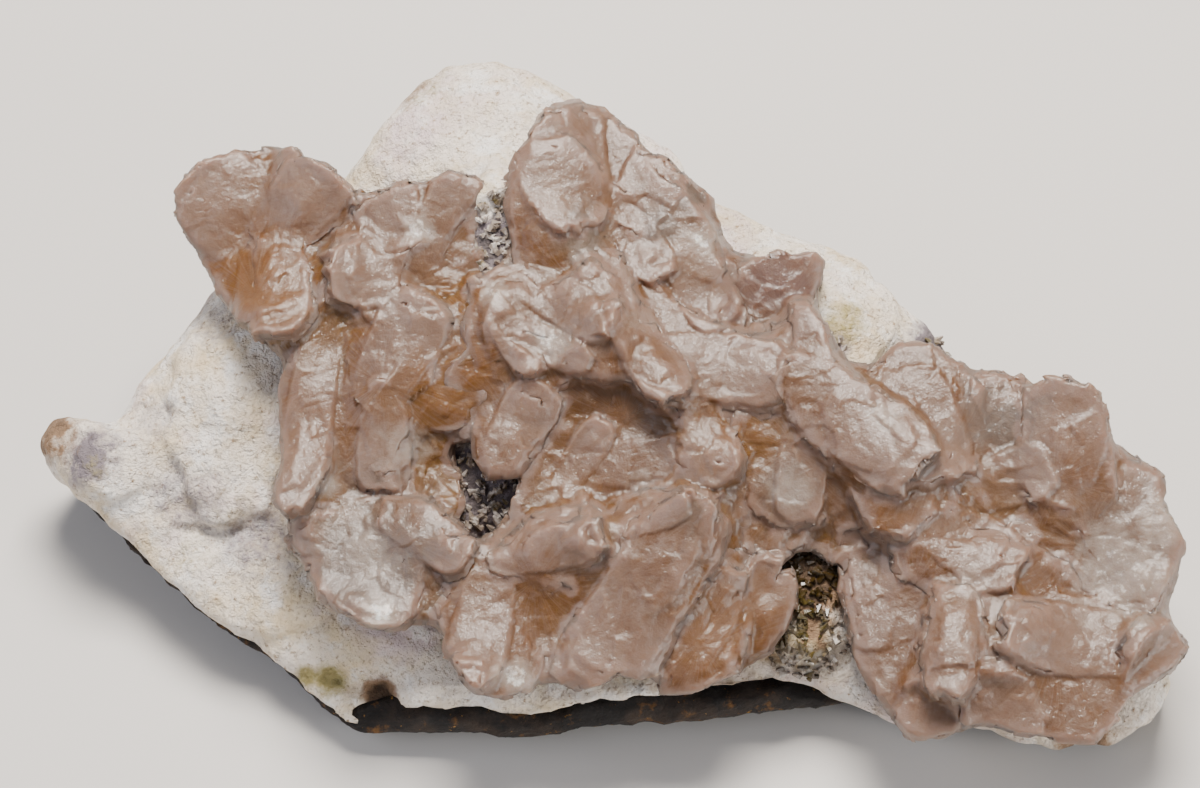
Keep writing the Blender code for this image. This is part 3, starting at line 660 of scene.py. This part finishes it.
def blade_fronts(bm):
    """The front of each blade, as the group of faces that run on smoothly from one to the next."""
    bm.normal_update()
    left = {face for face in bm.faces if face.normal.dot(OUTWARD) > FRONT_FACING}
    fronts = []
    for face in bm.faces:
        if face not in left:
            continue
        front, edge = [], [face]
        left.discard(face)
        while edge:
            here = edge.pop()
            front.append(here)
            for link in here.edges:
                for beside in link.link_faces:
                    if beside in left and beside.normal.angle(here.normal) < FRONT_TURN:
                        left.discard(beside)
                        edge.append(beside)
        if sum(part.calc_area() for part in front) > LEAST_FRONT * MM ** 2:
            fronts.append(front)
    return fronts


def extrude_back(bm, faces, move):
    """Give these faces sides and a back, by moving a copy of them this far."""
    under = bmesh.ops.extrude_face_region(bm, geom=faces)["geom"]
    sunk = [part for part in under if isinstance(part, bmesh.types.BMVert)]
    bmesh.ops.translate(bm, verts=sunk, vec=move)


def add_plate(bm, front, dice):
    """Flatten a blade's front and lay a smaller plate on it, near one corner."""
    area = sum(face.calc_area() for face in front)
    facing = sum((face.normal * face.calc_area() for face in front), Vector()).normalized()
    middle = sum((face.calc_center_median() * face.calc_area() for face in front), Vector()) / area
    rim = sorted({vert for face in front for vert in face.verts}, key=lambda vert: vert.index)
    for vert in rim:
        vert.co -= facing * (vert.co - middle).dot(facing) * FRONT_FLATNESS
    anchor = rim[int(dice.integers(len(rim)))].co.copy()
    keep = PLATE_SHARE * dice.uniform(*PLATE_VARIETY)
    centre = middle.lerp(anchor, dice.uniform(*PLATE_ANCHOR))
    copied = bmesh.ops.duplicate(bm, geom=front)["geom"]
    faces = [part for part in copied if isinstance(part, bmesh.types.BMFace)]
    verts = [part for part in copied if isinstance(part, bmesh.types.BMVert)]
    for vert in verts:
        vert.co = centre + (vert.co - centre) * keep + facing * (PLATE_STEP * MM)
    extrude_back(bm, faces, facing * (-PLATE_DEPTH * MM))


def add_bed(bm, mine):
    """The low mass that the blades stand in, over this cluster's own cells of the face map."""
    across, upward = counts(BED_CELL)
    verts = bmesh.ops.create_grid(bm, x_segments=across, y_segments=upward, size=1.0)["verts"]
    flats = np.array([vert.co for vert in verts]) * (*MAP_REACH, 0.0)
    flats[:, 2] = brows[cells(flats)] - BED_DROP
    for vert, place in zip(verts, to_row(flats)):
        vert.co = place
    faces = {face for vert in verts for face in vert.link_faces}
    middles = to_face(np.array([face.calc_center_median() for face in faces]))
    inside = mine[cells(middles)]
    bmesh.ops.delete(bm, geom=[face for face, keep in zip(faces, inside) if not keep], context="FACES")
    kept = [face for face, keep in zip(faces, inside) if keep]
    border = list({vert for face in kept for vert in face.verts if vert.is_boundary})
    for _ in range(BED_ROUNDS):
        bmesh.ops.smooth_vert(
            bm, verts=border, factor=BED_PULL, use_axis_x=True, use_axis_y=True, use_axis_z=True)
    extrude_back(bm, kept, OUTWARD * (-BED_THICKNESS * MM))


def petal_axes(flat, heading):
    """The directions along and out of a petal that lies on the brows here, with its outer end lifted."""
    cell = cells(np.array([flat]))
    slope = slopes[:, cell[0][0], cell[1][0]]
    facing = np.array((-slope[0], -slope[1], 1.0))
    facing /= np.linalg.norm(facing)
    along = np.array((math.cos(heading), math.sin(heading), 0.0))
    along -= facing * np.dot(along, facing)
    along /= np.linalg.norm(along)
    return (along * math.cos(PETAL_LIFT) + facing * math.sin(PETAL_LIFT),
            facing * math.cos(PETAL_LIFT) - along * math.sin(PETAL_LIFT))


def add_petal(bm, middle, axes, length, width, bend, dice):
    """A stack of thin plates, broad at the outer end and bent along their length, with uneven rims."""
    along, facing = axes
    side = np.cross(facing, along)
    curl = dice.uniform(-PETAL_CURL, PETAL_CURL)
    columns, rows = PETAL_CELLS
    back, step = PETAL_LAYER
    for layer in range(PETAL_LAYERS):
        centre = middle - along * layer * back + facing * layer * step
        half_length = length / 2 - layer * back
        half_width = width / 2 - layer * back
        verts = bmesh.ops.create_grid(bm, x_segments=columns, y_segments=rows, size=1.0)["verts"]
        for vert in verts:
            ahead, aside = vert.co.x, vert.co.y
            if vert.is_boundary:
                ahead, aside = np.array((ahead, aside)) * (1.0 + dice.uniform(-PETAL_JITTER, PETAL_JITTER))
            shoulder = max(abs(ahead) - PETAL_SHOULDER, 0.0) / (1.0 - PETAL_SHOULDER)
            aside *= (1.0 - PETAL_TAPER * (1.0 - ahead) / 2) * (1.0 - PETAL_CORNER * shoulder)
            rise = bend * (ahead ** 2 - BEND_NIL) - PETAL_DOME * aside ** 2
            rise += dice.uniform(-PETAL_FACET, PETAL_FACET)
            aside += curl * (ahead ** 2 - CURL_NIL)
            reach = along * ahead * half_length + side * aside * half_width
            held = 1.0
            while held > PETAL_TRIM and not covered[cells((centre + reach * held)[None])][0]:
                held -= PETAL_TRIM
            vert.co = to_row(centre + reach * held + facing * rise)
        top = list({face for vert in verts for face in vert.link_faces})
        extrude_back(bm, top, Vector(-facing @ FACE_AXES) * (PETAL_THICKNESS * MM))


def fill_gaps(bm, mine, roots, dice):
    """Small petals over the gaps in the cluster's own cells, turned from the nearest sheaf's root."""
    flats = (np.argwhere(mine) + 0.5) * MAP_CELL - MAP_REACH
    left = dice.permutation(flats[gaps[mine] > PETAL_GAP])
    while len(left):
        flat = left[0]
        left = left[np.linalg.norm(left - flat, axis=1) > PETAL_SPACING]
        away = flat - min(roots, key=lambda place: np.linalg.norm(flat - place))
        axes = petal_axes(flat, math.atan2(away[1], away[0]))
        middle = np.array((*flat, brows[cells(flat[None])][0] + dice.uniform(*PETAL_DEPTHS)))
        full = dice.uniform(*PETAL_LENGTHS)
        breadth = dice.uniform(*PETAL_BREADTHS)
        sideways = np.cross(axes[1], axes[0]) * breadth
        reaches = np.array((axes[0], -axes[0], sideways, -sideways)) / 2
        fitting = [
            share * full for share in PETAL_TRIES
            if mine[cells(middle + reaches * share * full)].all()
        ]
        if fitting:
            add_petal(bm, middle, axes, fitting[0], fitting[0] * breadth, GAP_BEND, dice)


def crystal_shape(number, node, roots):
    """A cluster's blades with their plates, its petals and its bed, as bodies that overlap."""
    dice = np.random.default_rng(number)
    mine = covered & spread_out(owner == number, SEAM, np.max)
    bm = node_shape(node)
    bm.verts.index_update()
    for front in blade_fronts(bm):
        add_plate(bm, front, dice)
    for x, up, heading, length, width, rise, bend in PETALS[node]:
        middle = np.array((x, up, brows[cells(np.array([(x, up)]))][0] + PETAL_SEAT + rise))
        axes = petal_axes((x, up), math.radians(heading))
        add_petal(bm, middle, axes, length * PETAL_GROWTH, width * PETAL_GROWTH, bend, dice)
    fill_gaps(bm, mine, roots, dice)
    add_bed(bm, mine)
    bmesh.ops.recalc_face_normals(bm, faces=bm.faces)
    return bm


def sheaf_place(points, roots):
    """For each point, the nearest sheaf's root: how far from it, which way round, and which root."""
    flats = np.array(roots, float)
    away = points[:, None, :2] - flats[None]
    distance = np.linalg.norm(away, axis=2)
    nearest = np.argmin(distance, axis=1)
    rows = np.arange(len(points))
    chosen = away[rows, nearest]
    return distance[rows, nearest], np.arctan2(chosen[:, 1], chosen[:, 0]), nearest


def petal_layout(points):
    """How far the drawn petals raise each point, each lying on the ones before it, and how pale it is."""
    height = np.zeros(len(points))
    pale = np.zeros(len(points))
    serration = 1.0 + drift(points * (1.0, 1.0, 0.0), PETAL_TEETH, 31) * PETAL_TOOTH
    for x, up, heading, length, width, _, _ in sum(PETALS.values(), []):
        turn = math.radians(heading)
        right = points[:, 0] - x
        above = points[:, 1] - up
        ahead = (right * math.cos(turn) + above * math.sin(turn)) / (length * PETAL_GROWTH / 2)
        aside = (above * math.cos(turn) - right * math.sin(turn)) / (width * PETAL_GROWTH / 2)
        outer = np.clip((1.0 + ahead) / 2, 0.0, 1.0)
        aside = aside / (1.0 - PETAL_TAPER * (1.0 - outer))
        away = (np.abs(ahead) ** 3 + np.abs(aside) ** 3) ** (1 / 3) * serration
        inside = np.clip((1.0 - away) / PETAL_EDGE, 0.0, 1.0)
        height += (PETAL_RISE * outer - height) * inside
        rimmed = np.clip(1.0 - (1.0 - away) / PETAL_RIM, 0.0, 1.0) * outer
        pale += (PETAL_PALE + (1.0 - PETAL_PALE) * outer + PETAL_RIM_PALE * rimmed - pale) * inside
    return height, pale


def facet(piece, roots):
    """Raise the drawn petals, tilted facets with crisp steps, and ridges that spread from a root."""
    points = points_of(piece)
    front = front_share(piece, *FACET_FRONT)
    distance, turn, sheaf = sheaf_place(points, roots)
    points[:, 2] += petal_layout(points)[0] * front
    for size, tilt, step in FACETS:
        for place, row in enumerate(points / size):
            spot = Vector(row)
            middle = noise.voronoi(spot)[1][0]
            lean = noise.cell_vector(middle * FACET_SHUFFLE) - Vector((0.5, 0.5, 0.5))
            off = spot - middle
            rise = (lean.x * off.x + lean.y * off.y) * size * tilt + lean.z * step
            points[place, 2] += rise * front[place]
    aside = turn * RIDGE_ARM * RIDGE_LENGTH / RIDGE_WIDTH
    spread = np.stack((aside, distance, sheaf * SHEAF_SHIFT), axis=1)
    ridges = drift(spread, RIDGE_LENGTH, 12) * RIDGE_HEIGHT * np.clip(distance / RIDGE_START, 0.0, 1.0)
    points[:, 2] += ridges * front
    move_to(piece, points)


def sharpened(piece, rounds, spread):
    """The vertices with flats evened out and edges made crisp, where facings closer than spread merge."""
    points = points_of(piece)
    mesh = piece.data
    corners = np.empty(len(mesh.loops), int)
    mesh.loops.foreach_get("vertex_index", corners)
    corners = corners.reshape(-1, 4)
    edges = np.empty(len(mesh.loops), int)
    mesh.loops.foreach_get("edge_index", edges)
    first, second = (np.argsort(edges, kind="stable") // 4).reshape(-1, 2).T
    count = len(corners)
    shared = np.bincount(corners.ravel(), minlength=len(points))
    across = points[corners[:, 2]] - points[corners[:, 0]]
    along = points[corners[:, 3]] - points[corners[:, 1]]
    facing = np.cross(across, along)
    facing = facing / np.maximum(np.linalg.norm(facing, axis=1), TINY)[:, None]
    for _ in range(rounds):
        apart = facing[first] - facing[second]
        share = np.exp(-np.sum(apart ** 2, axis=1) / (2.0 * spread ** 2))
        total = facing.copy()
        for axis in range(3):
            total[:, axis] += np.bincount(first, facing[second, axis] * share, count)
            total[:, axis] += np.bincount(second, facing[first, axis] * share, count)
        facing = total / np.linalg.norm(total, axis=1)[:, None]
    for _ in range(rounds):
        middles = points[corners].mean(axis=1)
        move = np.zeros_like(points)
        for corner in corners.T:
            off = np.sum((middles - points[corner]) * facing, axis=1)
            for axis in range(3):
                move[:, axis] += np.bincount(corner, off * facing[:, axis], len(points))
        points += move / shared[:, None]
    return points


def grow(piece):
    """Curved fronts, layers that jog along the blades' sides, and crisp edges between them."""
    points = points_of(piece)
    facing = normals_of(piece)
    front = front_share(piece, *GROWTH_FRONT)
    move = np.zeros_like(points)
    move[:, 2] = drift(points, SWELL_SIZE, 10) * SWELL_HEIGHT
    jogs = np.array([tuple(noise.cell_vector(point)) for point in points / JOG_CELL]) - 0.5
    move[:, :2] += jogs[:, :2] * 2.0 * JOG_WIDTH * (1.0 - front)[:, None]
    move += facing * (np.clip(-facing[:, 2], 0.0, 1.0) * SEATING)[:, None]
    move_to(piece, points + move)
    move_to(piece, sharpened(piece, CRISP_ROUNDS, CRISP_SPREAD))


def rim_share(piece):
    """How much each point stands out as a rim: 0 on flats and in creases, 1 on a crisp edge."""
    points = points_of(piece)
    facing = normals_of(piece)
    first, second, links = neighbours(piece)
    count = len(points)
    bend = np.sum((facing[first] - facing[second]) * (points[first] - points[second]), axis=1)
    share = (np.bincount(first, bend, count) + np.bincount(second, bend, count)) / links
    for _ in range(RIM_ROUNDS):
        share = (np.bincount(first, share[second], count) + np.bincount(second, share[first], count)) / links
    return np.clip(share / RIM_BEND, 0.0, 1.0)


def thin_out(piece, most):
    """Take the piece down to this many triangles."""
    count = sum(len(polygon.vertices) - 2 for polygon in piece.data.polygons)
    if count > most:
        reshape(piece, "DECIMATE", {"ratio": most / count})


def depth_under(brows, points):
    """How far each point lies under the brows."""
    return np.maximum(sampled(brows, points) - points[:, 2], 0.0)


# Zones of colour, and of painted highlights: middle, radius and strength
ZONES = {
    "amber_zone": [
        ((-41, 14), 7.0, 0.9), ((-17.8, 13), 3.5, 1.0), ((-30.6, 9.4), 3.0, 0.7), ((-36, -3), 6.5, 0.5),
        ((-18.5, 2), 5.5, 1.0), ((-20.5, -3), 4.0, 0.8), ((-33.7, -11), 2.5, 0.7), ((-3, -12.5), 3.5, 0.5),
        ((-4, -27), 4.0, 0.5), ((-16, -25), 3.5, 0.5), ((17, -5.5), 4.5, 0.9), ((35, -15), 3.5, 0.6),
        ((16, -27.5), 8.5, 0.8), ((64, -26), 4.5, 0.5), ((67, -31), 5.0, 0.4), ((-17, -11), 3.0, 0.4),
    ],
    "clear_zone": [
        ((-2.5, 20.5), 3.5, 0.9), ((7.5, 22), 2.5, 0.8), ((11, 27), 4.5, 0.8), ((50, -2), 4.5, 0.8),
        ((-29, -19), 9.5, 0.8), ((12.5, -14), 3.0, 0.5), ((66, -16), 8.0, 0.5), ((23, -11), 4.0, 0.6),
    ],
    "rose_zone": [
        ((22, 14), 7.0, 1.0), ((-33, 0), 5.0, 0.4), ((46, -33), 8.0, 0.35), ((38, -24), 6.0, 0.3),
    ],
    # Painted highlights: spots on the fronts painted paler, with white glints where the light would catch
    # them
    "painted_highlight_zone": [
        ((64, -21.5), 6.5, 0.88), ((69, -15), 4.0, 0.8), ((13, 20), 2.4, 1.0), ((-10.4, -33.5), 2.4, 1.0),
        ((-27, -26), 2.4, 1.0), ((-23, 22), 2.2, 1.0), ((-13, 13), 1.8, 0.95), ((-6, 7.5), 2.4, 0.92),
        ((-24.4, -5.6), 3.6, 0.7), ((-33.8, -10.6), 1.5, 0.9), ((-28, -19), 3.5, 0.7),
        ((35, -2.5), 2.0, 0.8), ((45, -22), 2.6, 0.6), ((24, -11), 3.2, 0.7), ((5, -10), 2.4, 0.6),
        ((5, 10), 3.0, 0.5), ((-3, 18), 2.0, 0.6), ((43, -29), 3.0, 0.5), ((6, -24), 5.0, 0.4),
        ((-45, 27), 3.0, 0.4),
    ],
}

pieces = {}
for number, (node, name) in enumerate(CLUSTERS.items()):
    piece = even_piece(name, crystal_shape(number, node, SHEAF_ROOTS[node]), CRYSTAL_VOXEL)
    grow(piece)
    pieces[node] = piece

for reach, filled in VALLEYS:
    brows = closed_over(height_map([points_of(piece) for piece in (crust, *pieces.values())]), reach)
    for piece in pieces.values():
        points = points_of(piece)
        points[:, 2] += depth_under(brows, points) * filled * front_share(piece, *VALLEY_FRONT)
        move_to(piece, points)

for node, piece in pieces.items():
    facet(piece, SHEAF_ROOTS[node])
    thin_out(piece, MOST_TRIANGLES)
    points = points_of(piece)
    # Painted shade: how deep each point lies under the brows, which darkens it in the recesses
    carry(piece, "sunk", depth_under(brows, points))
    carry(piece, "petal", petal_layout(points)[1])
    # How sharply each point stands out as a rim, where a glow is painted
    carry(piece, "rim", rim_share(piece))
    distance, turn, sheaf = sheaf_place(points, SHEAF_ROOTS[node])
    bend = drift(points, STRIA_BEND_SIZE, 15) * STRIA_BEND
    aside = (turn * RIDGE_ARM + bend) / STRIA_WIDTH
    rays = np.stack((aside, distance / STRIA_LENGTH, sheaf * SHEAF_SHIFT), axis=1)
    stored = piece.data.attributes.new("rays", "FLOAT_VECTOR", "POINT")
    stored.data.foreach_set("vector", rays.astype(np.float32).ravel())
    carry_stains_and_highlights(piece, ZONES)

# Heulandite: a soft, milky, see-through zeolite. Its fronts are pearly and grey-white to pink, and light
# sinks a few millimetres into it. Its recesses are amber, painted darker with depth as shade. Its crisp
# rims carry a painted glow, and spots on its fronts carry painted highlights.
heulandite, shader = new_material("heulandite_waxy", {
    "Roughness": 0.42,
    "IOR": 1.5,
    "Transmission Weight": 0.32,
    "Subsurface Weight": 0.8,
    "Subsurface Radius": (1.0, 0.75, 0.55),
    "Subsurface Scale": 3.8 * MM,
    "Coat Weight": 0.2,
    "Coat Roughness": 0.14,
})
colour = layered(heulandite, linear("#68411A"), [
    ("#806451", 6.0, 0.40, 0.80),
    ("#7A5327", 13.0, 0.56, 0.80),
    ("#8F776A", "petal", 0.45, 1.75),
    ("#937C70", 2.2, 0.52, 0.88),
    ("#685A50", "clear_zone", 0.5, 1.3),
    ("#72564D", "rose_zone", 0.6, 1.5),
    ("#784A06", "amber_zone", 0.6, 1.7),
    # Painted shade: over their own amber, the deeper a point lies in the recesses between blades, the darker
    # amber-brown it is painted
    ("#704B17", "sunk", 0.6, 2.8),
    ("#4F3106", "sunk", 2.6, 7.0),
    # Painted glow: a warm tint on crisp rims, standing in for light that shines through the thin edges
    ("#8F7364", "rim", 0.6, 1.4),
    # Painted highlights: paler patches, with white glints inside them
    ("#AD9E92", "painted_highlight_zone", 0.7, 1.5),
    ("#EDE7E0", "painted_highlight_zone", 1.28, 1.42),
    ("#3A271A", 1.3, 0.715, 0.74),
])
# Pale streaks along the rays
rays = add_node(heulandite, "ShaderNodeAttribute", {"attribute_name": "rays"}).outputs["Vector"]
streaks = {"Vector": rays, "Scale": 1.0, "Detail": 3.0}
stria = add_node(heulandite, "ShaderNodeTexNoise", {}, streaks).outputs["Fac"]
window = {"Value": stria, "From Min": 0.45, "From Max": 0.75, "To Max": 0.3}
share = add_node(heulandite, "ShaderNodeMapRange", {}, window).outputs["Result"]
tints = {0: share, 6: colour, 7: linear("#967F6E")}
colour = add_node(heulandite, "ShaderNodeMix", {"data_type": "RGBA"}, tints).outputs[2]
heulandite.node_tree.links.new(colour, shader.inputs["Base Color"])
finely_rough(heulandite, shader, [(2.2, 0.2), (0.5, 0.05)])
place = add_node(heulandite, "ShaderNodeTexCoord").outputs["Object"]
flakes = {"Vector": place, "Scale": 1.0 / (FLAKE_SIZE * MM), "Detail": 2.0}
height = add_node(heulandite, "ShaderNodeTexNoise", {}, flakes).outputs["Fac"]
broken = {"Height": height, "Distance": FLAKE_DEPTH * MM}
sparkle = add_node(heulandite, "ShaderNodeBump", {}, broken).outputs["Normal"]
heulandite.node_tree.links.new(sparkle, shader.inputs["Coat Normal"])
for node, piece in pieces.items():
    dress(piece, heulandite, node)


# Druse
# A lining of tiny zeolite crystals, about a millimetre long, on the floors of the open hollows. They are
# grey and glassy, with dark clay between them.

GRAIN_SPACING = 0.75
# A grain is a blunt spike: its half width, its sides, its length, tip and seat as multiples of the half
# width, and how far it leans, in radians
GRAIN_SIZES = (0.28, 0.6)
GRAIN_SIDES = 5
GRAIN_LENGTH = 2.2
GRAIN_TIP = 0.25
GRAIN_SEAT = 0.4
GRAIN_LEAN = 0.8
# How far a patch of grains reaches, in half sizes, and how far the floor under it is evened out
PATCH_REACH = 1.1
FLOOR_REACH = 1.0
DRUSE_SEED = 30
# Where the grains grow: the open hollows, and three patches more
DRUSE_PATCHES = [*HOLLOWS, ((15.7, -17.8), (2.2, 1.6)), ((29.0, 6.3), (2.6, 2.2)), ((43.5, 6.0), (2.5, 2.5))]

dice = np.random.default_rng(DRUSE_SEED)
floors = closed_over(height_map([points_of(crust)]), FLOOR_REACH)
bm = bmesh.new()
for (x, up), (half_width, half_height) in DRUSE_PATCHES:
    for _ in range(int(math.pi * half_width * half_height / GRAIN_SPACING ** 2)):
        turn = dice.uniform(0.0, math.tau)
        reach = PATCH_REACH * math.sqrt(dice.random())
        flat = np.array((x + math.cos(turn) * half_width * reach, up + math.sin(turn) * half_height * reach))
        size = dice.uniform(*GRAIN_SIZES)
        height = floors[cells(flat[None])][0]
        if height == NOWHERE:
            continue
        middle = to_row((*flat, height + size * GRAIN_SEAT))
        lean = Euler((FACE_TILT + dice.normal(0.0, GRAIN_LEAN), dice.normal(0.0, GRAIN_LEAN), turn))
        place = Matrix.LocRotScale(Vector(middle), lean, Vector((size, size, size)) * MM)
        bmesh.ops.create_cone(
            bm, cap_ends=True, segments=GRAIN_SIDES, radius1=1.0, radius2=GRAIN_TIP, depth=GRAIN_LENGTH,
            matrix=place)
mesh = bpy.data.meshes.new("druse_grains")
bm.to_mesh(mesh)
bm.free()
grains = bpy.data.objects.new("druse_grains", mesh)
bpy.context.scene.collection.objects.link(grains)
carry_stains_and_highlights(grains, {"green_stain": GREEN_STAINS, "brown_stain": BROWN_STAINS})

# Glassy zeolite: clear to grey with a bright, hard shine on each small face.
glassy, shader = new_material("glassy_zeolite", {"Roughness": 0.22, "IOR": 1.5, "Transmission Weight": 0.3})
colour = layered(glassy, linear("#A39588"), [
    ("#E9E1D8", 1.6, 0.50, 0.62),
    ("#4A3E32", 2.6, 0.54, 0.66),
    ("#7A6A3A", 5.0, 0.56, 0.66),
    ("#3E2E12", "brown_stain", 0.4, 1.1),
    ("#6A5F2C", "green_stain", 0.7, 1.3),
])
glassy.node_tree.links.new(colour, shader.inputs["Base Color"])
finely_rough(glassy, shader, [(0.3, 0.03)])
mesh.materials.append(glassy)
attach(grains, "root")


# Floor, light and camera
# A plain floor of pale paper under soft studio light from above. The camera looks straight at the tilted
# crystal face.

# The floor's width in metres
FLOOR_SIZE = 3.0

floor_mesh = bpy.data.meshes.new("floor")
bm = bmesh.new()
bmesh.ops.create_grid(bm, x_segments=1, y_segments=1, size=FLOOR_SIZE / 2)
bm.to_mesh(floor_mesh)
bm.free()
floor = bpy.data.objects.new("floor", floor_mesh)
bpy.context.scene.collection.objects.link(floor)
paper, shader = new_material("pale_paper", {"Base Color": linear("#CFCBC6"), "Roughness": 0.8})
floor_mesh.materials.append(paper)

# What the camera and the lamps are turned to, in the face frame, and how far out the camera stands
VIEW_MIDDLE = (0.0, 0.75, 4.0)
VIEW_DISTANCE = 417.0
VIEW_LENS = 100.0


def add_light(name, place, size, power, colour):
    """A soft square lamp turned to the specimen, with its size in metres and its power in watts."""
    lamp = bpy.data.lights.new(name, "AREA")
    lamp.size = size
    lamp.energy = power
    lamp.color = linear(colour)[:3]
    holder = bpy.data.objects.new(name, lamp)
    holder.location = to_row(place)
    aim = Vector(to_row(VIEW_MIDDLE)) - holder.location
    holder.rotation_euler = aim.to_track_quat("-Z", "Y").to_euler()
    bpy.context.scene.collection.objects.link(holder)


add_light("key_light", (20, 460, 350), 0.26, 9.4, "#FFF8F0")
add_light("fill_light", (-480, 60, 380), 0.5, 2.0, "#EEF2FF")
add_light("side_light", (500, -160, 280), 0.3, 2.6, "#FFFFFF")

world = bpy.data.worlds.new("studio")
world.use_nodes = True
world.node_tree.nodes["Background"].inputs["Color"].default_value = linear("#DDDDE2")
world.node_tree.nodes["Background"].inputs["Strength"].default_value = 0.2
bpy.context.scene.world = world

lens = bpy.data.cameras.new("camera")
lens.lens = VIEW_LENS
lens.clip_end = 10.0
camera = bpy.data.objects.new("camera", lens)
camera.location = to_row((VIEW_MIDDLE[0], VIEW_MIDDLE[1], VIEW_MIDDLE[2] + VIEW_DISTANCE))
camera.rotation_euler = (FACE_TILT, 0.0, 0.0)
bpy.context.scene.collection.objects.link(camera)
bpy.context.scene.camera = camera
